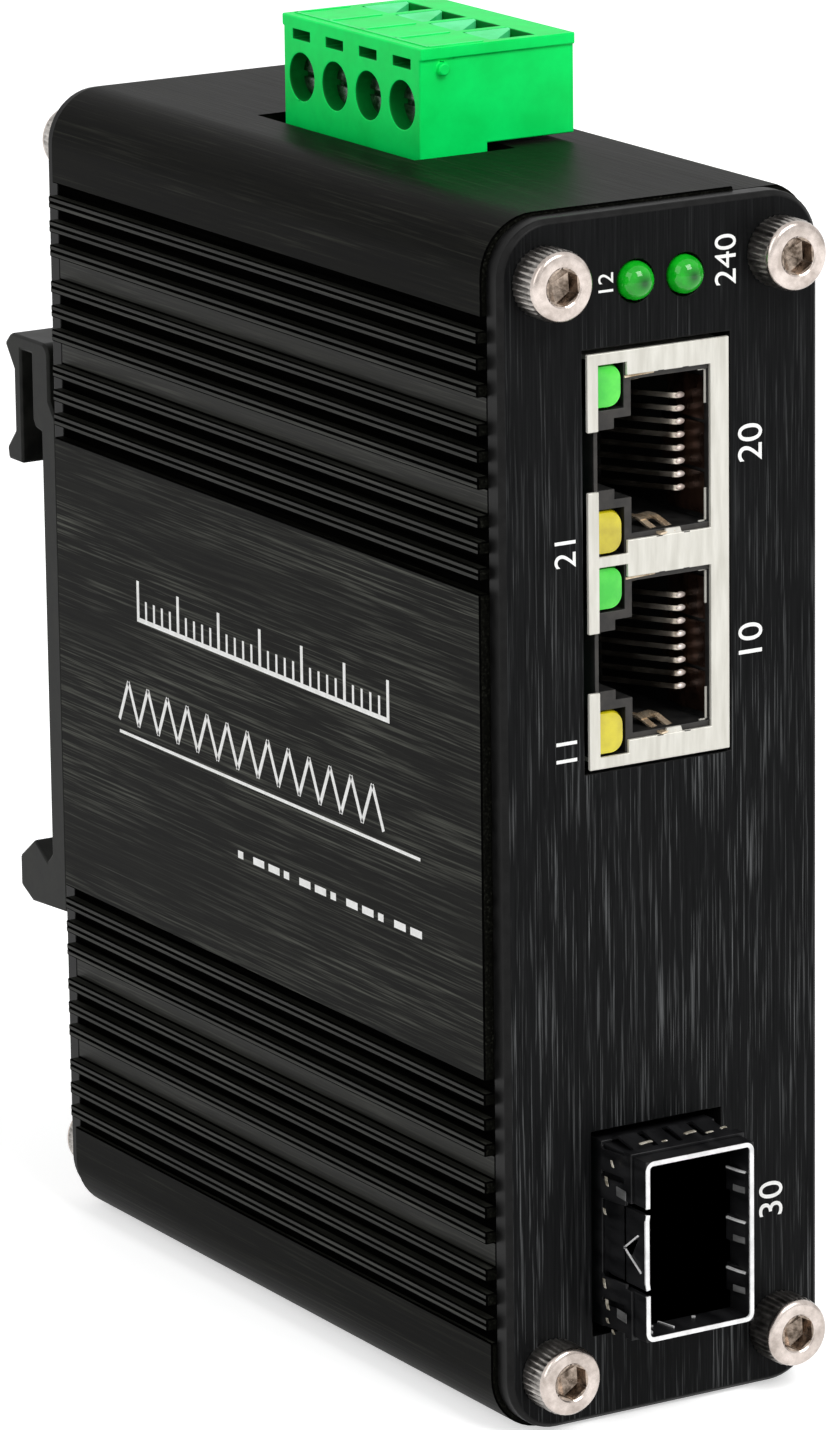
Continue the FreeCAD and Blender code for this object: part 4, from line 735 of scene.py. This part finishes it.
def buildGroundStrips(form):
    # bent spring strips inside each port: one rises from the lower rim, one hangs under the upper rim
    look = stripLook
    near = shieldLow.y + socketLook["sheet"] / 2
    width = look["tabWidth"]
    for centre in portCentres:
        origin = (portRight - look["risingFrom"], near, centre - socketLook["halfPort"])
        path = smoothPath(pathFrom(origin, look["rising"]), 5)
        for side in (-1, 1):
            bar = [point + Vector((side * width * look["barShift"], 0, 0)) for point in path]
            addStrip(form, bar, look["slant"], width * look["barShare"], look["thick"])
        for first, last in ((0, look["slotFrom"]), (look["slotTo"], len(path) - 1)):
            addStrip(form, path[first:last], look["slant"], width, look["thick"])
        origin = (portRight - look["hangingFrom"], near, centre + socketLook["halfPort"])
        path = smoothPath(pathFrom(origin, look["hanging"]), 5)
        addStrip(form, path, look["tilt"], look["hangingWidth"], look["thick"])


addPiece("groundStrips", buildGroundStrips, "bronzeStrip", "contact_gold", sharp=50)
lipLook = dict(lengths(proud=0.1, tabFrom=3.35, tabDeep=0.2, foldDeep=0.55, foldWidth=0.16, foldThick=0.1),
    tab=((-0.8, 0, -0.1), (0.8, 0, -0.1), (0.62, 0, 0.42), (-0.62, 0, 0.42)),
    folds=((1, -1, 3.1), (-1, 1, 3.0)), down=(-0.12, 0.4), over=(-0.75, -0.05, 0.45))


def buildRimLips(form):
    # small lips of the shield: a raised tab at the lower rim and folded edges down the right side
    look = lipLook
    near = shieldLow.y + look["proud"]
    spot, start = look["down"]
    left, right, level = look["over"]
    for centre in portCentres:
        tabSpot = (portRight - look["tabFrom"], near, centre - socketLook["halfPort"])
        addPrism(form, pathFrom(tabSpot, look["tab"]), (0, look["tabDeep"], 0))
        for end, inward, length in look["folds"]:
            corner = (portRight, near + look["foldDeep"], centre + end * socketLook["halfPort"])
            down = pathFrom(corner, ((spot, 0, inward * start), (spot, 0, inward * length)))
            over = pathFrom(corner, ((left, 0, inward * level), (right, 0, inward * level)))
            addStrip(form, down, (1, 0, 0), look["foldWidth"], look["foldThick"])
            addStrip(form, over, (0, 0, 1), look["foldWidth"], look["foldThick"])


addPiece("rimLips", buildRimLips, "nickelSheet", "shield_nickel")
notchLook = dict(lengths(proud=0.015, thick=0.012), left=-0.32, right=0.26, reach=0.38,
    edges=((1, (2.2, 4.4)), (-1, (2.15, 4.6))))


def buildRimNotches(form):
    # dark corners where the shield's sheet is nicked, above and below each port
    look = notchLook
    for centre in portCentres:
        for end, spots in look["edges"]:
            level = centre + end * socketLook["halfPort"]
            corners = ((look["left"], 0, 0), (0, 0, end * look["reach"]), (look["right"], 0, 0))
            for spot in spots:
                origin = (portRight - spot * mm, shieldLow.y + look["proud"], level)
                nick = pathFrom(origin, corners)
                addPrism(form, nick, (0, -look["thick"], 0))


addPiece("rimNotches", buildRimNotches, "socketPlastic", "shield_nickel")
# each leaf: its foot, head and depth
springLook = dict(lengths(gap=0.06, behind=0.9, thick=0.12),
    leaves=((-5.4, -2.2, 4.6), (-1.9, 1.6, 5.4), (1.9, 5.2, 4.6)), near=(-0.12, 1.4, 0),
    belly=-0.3, bellyShare=0.6, end=-0.2)


def buildSideSprings(form):
    # the dark bronze spring sheet that lines the right wall of each port
    look = springLook
    for centre in portCentres:
        for foot, head, deep in look["leaves"]:
            middle = centre + (foot + head) / 2 * mm
            origin = (portRight - look["gap"], shieldLow.y + look["behind"], middle)
            belly = (look["belly"], deep * look["bellyShare"], 0)
            bend = pathFrom(origin, ((0, 0, 0), look["near"], belly, (look["end"], deep, 0)))
            addStrip(form, smoothPath(bend, 4), (0, 0, 1), (head - foot) * mm, look["thick"])


addPiece("sideSprings", buildSideSprings, "darkBronze", "contact_gold")
print("sockets made")


# module cage

cageLook = dict(lengths(sheet=0.35, corner=0.5, sheetEase=0.06, fingerEase=0.05, tongueSpan=6.0,
    tongueSlit=0.5, rimSet=0.06, rimDeep=0.16), arcSteps=6, bow=-0.08, bowFrom=0.5)
cageLow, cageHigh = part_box("sfp_cage")
cageMiddle = (cageLow.z + cageHigh.z) / 2
cageWall = cageHigh.x - cageLook["sheet"]
# painted shade: the cage sheet and its fingers are coloured near black
softenedPiece("cageSheet", "sfp_cage", "shadedCage", "cage_steel", cageLook["sheetEase"])
softenedPiece("cageFingers", "sfp_emi_fingers", "shadedCage", "spring_steel", cageLook["fingerEase"])


def buildCageRim(form):
    # a painted highlight along the cut edge round the mouth, open at the two slits beside the latch tongue
    look = cageLook
    inset = look["sheet"] / 2
    r = look["corner"]
    y = cageLow.y + look["rimSet"]
    left, right = cageLow.x + inset, cageHigh.x - inset
    bottom, top = cageLow.z + inset, cageHigh.z - inset
    half = look["tongueSpan"] / 2
    gap = half + look["tongueSlit"]
    path = [Vector((left, y, cageMiddle + gap))]
    corners = ((left + r, top - r, 180), (right - r, top - r, 90), (right - r, bottom + r, 0),
               (left + r, bottom + r, -90))
    for x, z, start in corners:
        for step in range(look["arcSteps"] + 1):
            angle = math.radians(start - 90 * step / look["arcSteps"])
            path.append(Vector((x + r * math.cos(angle), y, z + r * math.sin(angle))))
    path.append(Vector((left, y, cageMiddle - gap)))
    addStrip(form, path, (0, 1, 0), look["rimDeep"], look["sheet"])
    half = half / mm
    bow, inner = look["bow"], half - look["bowFrom"]
    tongue = ((0, 0, -half), (bow, 0, -inner), (bow, 0, inner), (0, 0, half))
    addStrip(form, pathFrom((left, y, cageMiddle), tongue), (0, 1, 0), look["rimDeep"], look["sheet"])


addPiece("cageRim", buildCageRim, "edgeGlint", "cage_steel")
tongueLook = dict(lengths(proud=0.07),
    corners=((0, 0.05, 3.0), (0, 0.05, -3.0), (0, 4.9, 3.0), (0, 4.9, -3.0), (0, 2.95, -0.3),
        (0, 0.85, 1.25), (0, 0.6, -1.75)))


def buildTongueSkin(form):
    # outer face of the latch tongue, with its three-cornered hole
    proud = tongueLook["proud"]
    corners = pathFrom((cageLow.x - proud, cageLow.y, cageMiddle), tongueLook["corners"])
    mouthTop, mouthFoot, deepTop, deepFoot, apex, top, foot = corners
    outlines = ((mouthTop, deepTop, apex, top), (mouthFoot, foot, apex, deepFoot), (deepTop, deepFoot, apex),
                (mouthTop, top, foot, mouthFoot))
    for outline in outlines:
        addPrism(form, outline, (proud, 0, 0))


# the tongue's face takes the same painted shade
addPiece("tongueSkin", buildTongueSkin, "shadedCage", "cage_steel", sharp=30)
tabLook = dict(lengths(half=0.88, thick=0.12, glintWidth=0.16, glintThick=0.2, windowWidth=0.2,
    floorLift=0.06, floorWidth=0.12, floorThick=0.14, latchProud=0.09, latchWidth=0.1, latchThick=0.13,
    faceWidth=0.5, faceThick=0.05), levels=(3.75, -0.3, -4.35),
    path=((-0.03, 0.55, 0), (-0.2, 1.15, 0), (-0.28, 1.6, 0), (-0.4, 2.6, 0)),
    window=((-0.1, 4.35, 0.1), (-0.1, 4.22, -0.25), (-0.1, 4.42, -0.7), (-0.1, 4.25, -1.1),
        (-0.1, 4.4, -1.6), (-0.1, 4.2, -1.8)),
    floorEdges=(((-0.1, 4.16, 0), (0.7, 4.1, 0), (1.53, 3.86, 0)),
        ((-2.9, 3.9, 0), (-2.95, 3.2, 0), (-2.5, 1.05, 0)), ((-3.9, 2.3, 0), (-3.75, 2.1, 0)),
        ((0.0, 2.4, 0), (0.2, 2.2, 0)), ((-4.6, 0.9, 0), (-3.9, 3.6, 0), (-2.9, 3.9, 0))),
    latch=((0, 0.6, -1.75), (0, 2.95, -0.3), (0, 1.0, 1.15)), faceShift=(-0.08, 0, -0.55), faceSteps=12)
tabLevels = [cageMiddle + level * mm for level in tabLook["levels"]]


def tabPath(level):
    return smoothPath(pathFrom((cageWall, cageLow.y, level), tabLook["path"]), 5)


def buildCageTabs(form):
    # spring tabs pressed inwards from the right wall
    for level in tabLevels:
        addStrip(form, tabPath(level), (0, 0, 1), 2 * tabLook["half"], tabLook["thick"])


def buildTabGlints(form):
    # painted highlights along the cut edges of the tabs, of their windows, of the floor's slots and of the
    # latch's hole
    look = tabLook
    for level in tabLevels:
        top = level + look["half"]
        addStrip(form, tabPath(top), (0, 0, 1), look["glintWidth"], look["glintThick"])
        wave = smoothPath(pathFrom((cageWall, cageLow.y, top), look["window"]), 3)
        addStrip(form, wave, (0, 1, 0), look["windowWidth"], look["thick"])
    floor = cageLow.z + cageLook["sheet"] + look["floorLift"]
    for edge in look["floorEdges"]:
        path = pathFrom((0, cageLow.y, floor), edge)
        addStrip(form, path, (0, 0, 1), look["floorWidth"], look["floorThick"])
    corners = pathFrom((cageLow.x - look["latchProud"], cageLow.y, cageMiddle), look["latch"])
    for start, end in zip(corners, corners[1:]):
        addBar(form, start, end, (1, 0, 0), look["latchWidth"], look["latchThick"])


def buildTabFaces(form):
    # painted light on the lower part of each tab
    shift = Vector(tabLook["faceShift"]) * mm
    for level in tabLevels:
        path = [point + shift for point in tabPath(level)[:tabLook["faceSteps"]]]
        addStrip(form, path, (0, 0, 1), tabLook["faceWidth"], tabLook["faceThick"])


# painted shade on the tabs, painted highlights along their edges and painted light on their lower faces
addPiece("cageTabs", buildCageTabs, "shadedCage", "cage_steel")
addPiece("tabGlints", buildTabGlints, "edgeGlint", "cage_steel")
addPiece("tabFaces", buildTabFaces, "litSpring", "cage_steel")
# each painted highlight on a bend: across or height, depth, length and width
fingerLook = dict(lengths(lift=0.03, thick=0.05, faceLift=0.02, faceDeep=1.75, faceWidth=0.75,
    faceThick=0.04), skew=0.3, bulge=(0, 0.06, 0), bulgeBack=0.2, sideLean=0.1, sideBulge=(0, 0.05, 0),
    faceLevels=(4.2, -5.6), faceRun=(0, 1.3, 0.1),
    upper=((-4.1, 2.4, 1.2, 0.34), (-2.7, 1.95, 0.5, 0.2), (0.1, 2.7, 1.1, 0.4), (1.4, 1.95, 0.7, 0.22),
        (2.9, 2.3, 0.6, 0.26)),
    side=((6.3, 3.6, 0.5, 0.24), (4.7, 4.4, 0.7, 0.34), (2.2, 4.7, 0.45, 0.3), (-3.6, 4.8, 0.7, 0.3),
        (-5.2, 4.4, 0.75, 0.36), (-6.5, 4.4, 0.35, 0.3), (-7.2, 3.6, 0.3, 0.24)))
fingersLow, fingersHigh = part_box("sfp_emi_fingers")
fingersMiddle = (fingersLow.z + fingersHigh.z) / 2


def buildFingerGlints(form):
    # painted highlights on the bends of the collar's fingers
    look = fingerLook
    for x, deep, length, wide in look["upper"]:
        spot = (x * mm, cageLow.y + deep * mm, fingersHigh.z + look["lift"])
        skew = Vector((length / 2, wide * look["skew"], 0))
        bend = pathFrom(spot, (-skew, Vector(look["bulge"]) - skew * look["bulgeBack"], skew))
        addStrip(form, smoothPath(bend, 3), (0, 1, 0), wide * mm, look["thick"])
    for z, deep, tall, wide in look["side"]:
        spot = (fingersLow.x - look["lift"], cageLow.y + deep * mm, fingersMiddle + z * mm)
        lean = Vector((0, look["sideLean"], tall / 2))
        bend = pathFrom(spot, (-lean, look["sideBulge"], lean))
        addStrip(form, smoothPath(bend, 3), (0, 1, 0), wide * mm, look["thick"])


def buildFingerFaces(form):
    # painted light on two strips on the side of the collar's fingers
    look = fingerLook
    for z in look["faceLevels"]:
        start = (fingersLow.x - look["faceLift"], cageLow.y + look["faceDeep"], fingersMiddle + z * mm)
        path = pathFrom(start, ((0, 0, 0), look["faceRun"]))
        addStrip(form, path, (0, 0, 1), look["faceWidth"], look["faceThick"])


addPiece("fingerGlints", buildFingerGlints, "bendGlint", "spring_steel")
addPiece("fingerFaces", buildFingerFaces, "litSpring", "spring_steel")
print("cage made")


# power terminal

plugLook = dict(lengths(ease=0.12, topSink=0.08, ledgeDrop=1.0, ledgeDeep=0.25, ledgeStep=0.04,
    polePitch=5.08, flatSide=0.1, rimSet=1.0, rimWidth=0.3, rimEnd=0.5, ridgeEnd=0.55, ridgeLength=4.9,
    headerEase=0.08, headerSink=1.6, rampSink=0.02, rampDeep=1.2, sideSkin=0.15, endSkin=0.4, topSkin=0.12),
    poles=4, ramp=((7.0, 2.0, 0), (11.4, 2.0, 0), (7.3, -1.3, -0.5)))
plugLow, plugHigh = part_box("terminal_plug")
plugLeft = plugLow.x + plugLook["flatSide"]
plugNear = plugLow.y + plugLook["ledgeDeep"]
plugFar = plugHigh.y - plugLook["ledgeDeep"]


def poleMiddle(index):
    return (plugNear + plugFar) / 2 + ((plugLook["poles"] - 1) / 2 - index) * plugLook["polePitch"]


def shapePlug(form):
    # one flat face on the screw side, a full-width ledge under the top, and a top a hair lower for its ridges
    ledge = plugHigh.z - plugLook["ledgeDrop"]
    cutAt(form, ledge)
    cutAt(form, ledge - plugLook["ledgeStep"])
    for vert in form.verts:
        if vert.co.x < plugLeft:
            vert.co.x = plugLeft
        onEnd = min(abs(vert.co.y - plugNear), abs(vert.co.y - plugFar)) < hair
        if onEnd and vert.co.z < ledge - plugLook["ledgeStep"] / 2:
            vert.co.y += plugLook["ledgeDeep"] * (1 if vert.co.y < 0 else -1)
        if vert.co.z > plugHigh.z - 2 * hair:
            vert.co.z -= plugLook["topSink"]


def isInside(centre, face):
    # the walls of the openings, away from the plug's outer faces
    side, end, top = plugLook["sideSkin"], plugLook["endSkin"], plugLook["topSkin"]
    across = plugLeft + side < centre.x < plugHigh.x - side
    return across and plugNear + end < centre.y < plugFar - end and centre.z < plugHigh.z - top


def sinkHeaderRim(form):
    # the header's rim sits down in the case's cut-out
    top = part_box("terminal_header")[1].z
    for vert in form.verts:
        if vert.co.z > top - 2 * hair:
            vert.co.z -= plugLook["headerSink"]


plugHousing = softenedPiece("plugHousing", "terminal_plug", "housingGreen", "plug_green", plugLook["ease"],
                            shapePlug)
# painted shade on the walls of the plug's openings
addFinish(plugHousing, "housingShade", isInside)
# painted shade: the header is coloured near-black green
softenedPiece("headerHousing", "terminal_header", "headerShade", "header_green", plugLook["headerEase"],
              sinkHeaderRim)


def buildPlugRidges(form):
    # low ridges on the plug's top: one along the screw side and one between every two poles
    look = plugLook
    wide, tall = look["rimWidth"], look["topSink"]
    z = plugHigh.z - tall / 2
    left = plugLeft + look["rimSet"]
    near, far = plugNear + look["rimEnd"], plugFar - look["rimEnd"]
    addBar(form, (left, near, z), (left, far, z), (1, 0, 0), wide, tall)
    for index in range(look["poles"] + 1):
        y = poleMiddle(index - 0.5)
        y = min(max(y, plugNear + look["ridgeEnd"]), plugFar - look["ridgeEnd"])
        addBar(form, (left, y, z), (left + look["ridgeLength"], y, z), (0, 1, 0), wide, tall)


def buildEntryRamps(form):
    # the slope in each wire entry, painted paler as lit, cut off along its diagonal
    top = plugHigh.z - plugLook["topSink"] - plugLook["rampSink"]
    for index in range(plugLook["poles"]):
        slope = pathFrom((plugLeft, poleMiddle(index), top), plugLook["ramp"])
        addPrism(form, slope, (0, 0, -plugLook["rampDeep"]))


addPiece("plugRidges", buildPlugRidges, "ridgeGreen", "plug_green", body="plug")
addPiece("entryRamps", buildEntryRamps, "facetLit", "plug_green", body="plug", sharp=30)
clampLook = dict(lengths(headRadius=1.72, headDeep=1.15, slotWidth=0.5, slotDeep=0.45, shankLength=3.2),
    taper=0.93, shank=0.3, count=48, halfSteps=24)


def buildClampScrew(index):
    look = clampLook
    name = f"clampScrew{index}"
    node = f"terminal_screw_{index}"
    low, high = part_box(node)
    centre = Vector((plugLeft + look["headDeep"], (low.y + high.y) / 2, (low.z + high.z) / 2))
    axis, side, up = Vector((1, 0, 0)), Vector((0, 1, 0)), Vector((0, 0, 1))
    r = look["headRadius"]
    shank = (high.z - low.z) * look["shank"]
    length = high.x - centre.x
    neck = length - look["shankLength"]

    def build(form):
        # each half of the head stands beside the slot
        start = math.asin(look["slotWidth"] / 2 / r)
        for sign in (-1, 1):
            near, far = [], []
            for step in range(look["halfSteps"] + 1):
                angle = start + (math.pi - 2 * start) * step / look["halfSteps"]
                offset = side * r * math.cos(angle) + up * sign * r * math.sin(angle)
                near.append(form.verts.new(centre + offset * look["taper"]))
                far.append(form.verts.new(centre + offset + axis * look["slotDeep"]))
            bridgeRings(form, (near, far), True)
        rings = []
        for radius, deep in ((r, look["slotDeep"]), (r, neck), (shank, neck), (shank, length)):
            spot = centre + axis * deep
            rings.append(addRing(form, spot, side, up, look["count"], lambda angle: radius, 0.5))
        bridgeRings(form, rings, True)

    # the clamp screws are coloured dark: painted shade down in the holes
    addPiece(name, build, "clampShade", "clamp_steel", body=f"screw_{index}", replaced=(node,), sharp=30)


for index in range(1, 5):
    buildClampScrew(index)
    takeFinish(nodes[f"wire_clamp_{index}"], "canSilver")
print("terminal made")


# what is left keeps its form and takes a finish

plainFinishes = {
    "boardMask": ("main_board",),
    "chipBlack": ("switch_chip", "memory_chip", "power_chip", "power_inductor", "surge_diode",
                  "lan_transformers"),
    "canSilver": ("crystal", "input_fuse", "power_capacitors", "header_pins", "plug_contacts"),
    "socketPlastic": ("sfp_connector", "status_led_holder"),
}
for finish, members in plainFinishes.items():
    for node in members:
        takeFinish(nodes[node], finish)


# printed marks

# each numeral: its place across the plate, its height and its size
printLook = dict(lengths(thick=0.02, line=0.38, numeral=3.1, small=2.7, tiny=1.9),
    marks=(("12", -4.78, 89.2, "tiny"), ("240", 5.9, 89.9, "small"), ("20", 8.1, 75.6, "numeral"),
        ("10", 8.1, 60.1, "numeral"), ("21", -8.5, 69.3, "small"), ("11", -8.5, 53.8, "small"),
        ("30", 9.9, 15.2, "numeral")))


def addPrintedText(form, text, size, spot, turn):
    curve = bpy.data.curves.new("mark", "FONT")
    curve.body = text
    curve.size = size
    curve.align_x = "CENTER"
    curve.align_y = "CENTER"
    curve.extrude = printLook["thick"] / 2
    holder = bpy.data.objects.new("mark", curve)
    bpy.context.scene.collection.objects.link(holder)
    mesh = bpy.data.meshes.new_from_object(holder)
    bpy.data.objects.remove(holder)
    mesh.transform(Matrix.Translation(spot) @ turn)
    form.from_mesh(mesh)
    bpy.data.meshes.remove(mesh)


def buildPanelMarks(form):
    # plain numerals that read upwards beside the lamps and the openings
    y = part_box("front_panel")[0].y - printLook["thick"] / 2
    quarter = math.radians(90)
    turned = Matrix.Rotation(quarter, 4, "X") @ Matrix.Rotation(quarter, 4, "Z")
    for text, x, z, size in printLook["marks"]:
        addPrintedText(form, text, printLook[size], Vector((x * mm, y, z * mm)), turned)


addPiece("panelMarks", buildPanelMarks, "printWhite", "panel_black", sharp=30)
labelLook = dict(scaleCount=31, scaleStart=19.5, scaleStep=1.3, scaleFoot=6.6, scaleTall=3.0,
    scaleShort=1.5, scaleThin=0.75, scaleBase=6.4, scaleEnd=19.7, teeth=13, teethStart=23.0, tooth=3.2,
    teethFoot=-2.6, teethHead=0.8, ruleLevel=-3.6, ruleEnd=-24.0, ruleThin=0.7, dashes=12, dashStart=4.0,
    dashStep=2.4, dashLong=1.7, dashShort=0.8, dashLevel=-9.6, dashThick=1.6)


def buildLabelDesign(form):
    # a graduated scale above, a saw-tooth band over a line and a broken line below
    look = labelLook
    x = caseLow.x + caseLook["labelSink"] - printLook["thick"] / 2

    def addLine(start, end, weight=1.0):
        # start and end are along the case and up from the middle of the label
        a, b = pathFrom((x, 0, caseMiddle), ((0, *start), (0, *end)))
        across = Vector((1, 0, 0)).cross((b - a).normalized())
        addBar(form, a, b, across, printLook["line"] * weight, printLook["thick"])

    for index in range(look["scaleCount"]):
        along = look["scaleStart"] - index * look["scaleStep"]
        tall = index % 5 == 0
        head = look["scaleFoot"] + look["scaleTall" if tall else "scaleShort"]
        addLine((along, look["scaleFoot"]), (along, head), 1.0 if tall else look["scaleThin"])
    addLine((look["scaleEnd"], look["scaleBase"]), (-look["scaleEnd"], look["scaleBase"]))
    for index in range(look["teeth"]):
        along = look["teethStart"] - index * look["tooth"]
        peak = (along - look["tooth"] / 2, look["teethHead"])
        addLine((along, look["teethFoot"]), peak)
        addLine(peak, (along - look["tooth"], look["teethFoot"]))
    addLine((look["teethStart"], look["ruleLevel"]), (look["ruleEnd"], look["ruleLevel"]), look["ruleThin"])
    for index in range(look["dashes"]):
        along = look["dashStart"] - index * look["dashStep"]
        length = look["dashLong" if index % 3 else "dashShort"]
        addLine((along, look["dashLevel"]), (along - length, look["dashLevel"]), look["dashThick"])


addPiece("labelDesign", buildLabelDesign, "printWhite", "case_black", sharp=30)
print("marks printed")


# floor, light and camera

stageLook = dict(floorSize=6.0, floorColour=(0.86, 0.86, 0.86, 1), floorRoughness=0.9, glow=0.54, world=0.5,
    target=(0, 0, 0.05),
    lights=(("keyLight", (0.12, -0.85, 0.95), (0.6, 0.6), 10),
        ("sideLight", (-0.75, -0.25, 0.55), (0.5, 0.7), 2)))
cameraLook = dict(azimuth=-31.08, elevation=14.55, roll=-0.74, lens=196.44, sensor=36, near=0.01,
    spot=(-0.31106, -0.51498, 0.20412))


def backgroundSeen(tree):
    # 1 for camera, glossy and transmission rays, otherwise 0
    path = addNode(tree, "ShaderNodeLightPath")
    seen = path.outputs["Is Camera Ray"]
    for kind in ("Is Glossy Ray", "Is Transmission Ray"):
        seen = addMath(tree, "MAXIMUM", seen, path.outputs[kind])
    return seen


def buildFloor():
    half = stageLook["floorSize"] / 2

    def build(form):
        corners = ((-half, -half), (half, -half), (half, half), (-half, half))
        form.faces.new([form.verts.new((x, y, cadBox[0].z)) for x, y in corners])

    mesh = meshFrom("floor", build)
    floor = bpy.data.objects.new("floor", mesh)
    bpy.context.scene.collection.objects.link(floor)
    material = bpy.data.materials.new("paleFloor")
    material.use_nodes = True
    tree = material.node_tree
    shader = tree.nodes["Principled BSDF"]
    shader.inputs["Base Color"].default_value = stageLook["floorColour"]
    shader.inputs["Roughness"].default_value = stageLook["floorRoughness"]
    glow = addNode(tree, "ShaderNodeEmission")
    strength = addMath(tree, "MULTIPLY", backgroundSeen(tree), stageLook["glow"])
    tree.links.new(strength, glow.inputs["Strength"])
    both = addNode(tree, "ShaderNodeAddShader")
    tree.links.new(shader.outputs[0], both.inputs[0])
    tree.links.new(glow.outputs[0], both.inputs[1])
    tree.links.new(both.outputs[0], tree.nodes["Material Output"].inputs["Surface"])
    mesh.materials.append(material)


def buildWorld():
    world = bpy.data.worlds.new("studio")
    bpy.context.scene.world = world
    world.use_nodes = True
    tree = world.node_tree
    tree.nodes["Background"].inputs["Color"].default_value = (1, 1, 1, 1)
    level = addRemap(tree, backgroundSeen(tree), {"To Min": stageLook["world"]})
    tree.links.new(level, tree.nodes["Background"].inputs["Strength"])


def addSoftLight(name, spot, size, power):
    light = bpy.data.lights.new(name, "AREA")
    light.shape = "RECTANGLE"
    light.size, light.size_y = size
    light.energy = power
    holder = bpy.data.objects.new(name, light)
    holder.location = spot
    holder.rotation_euler = (Vector(stageLook["target"]) - Vector(spot)).to_track_quat("-Z", "Y").to_euler()
    bpy.context.scene.collection.objects.link(holder)


def buildCamera():
    look = cameraLook
    azimuth, elevation, roll = (math.radians(look[name]) for name in ("azimuth", "elevation", "roll"))
    flat = math.cos(elevation)
    back = Vector((math.sin(azimuth) * flat, -math.cos(azimuth) * flat, math.sin(elevation)))
    right = (-back).cross(Vector((0, 0, 1))).normalized()
    up = right.cross(-back)
    turnedRight = right * math.cos(roll) + up * math.sin(roll)
    turnedUp = up * math.cos(roll) - right * math.sin(roll)
    data = bpy.data.cameras.new("camera")
    data.sensor_fit = "VERTICAL"
    data.sensor_height = look["sensor"]
    data.lens = look["lens"]
    data.clip_start = look["near"]
    camera = bpy.data.objects.new("camera", data)
    matrix = Matrix((turnedRight, turnedUp, back)).transposed().to_4x4()
    matrix.translation = Vector(look["spot"])
    camera.matrix_world = matrix
    bpy.context.scene.collection.objects.link(camera)
    bpy.context.scene.camera = camera


buildFloor()
buildWorld()
for light in stageLook["lights"]:
    addSoftLight(*light)
buildCamera()
bpy.context.scene.view_settings.view_transform = "Standard"
print("stage set")
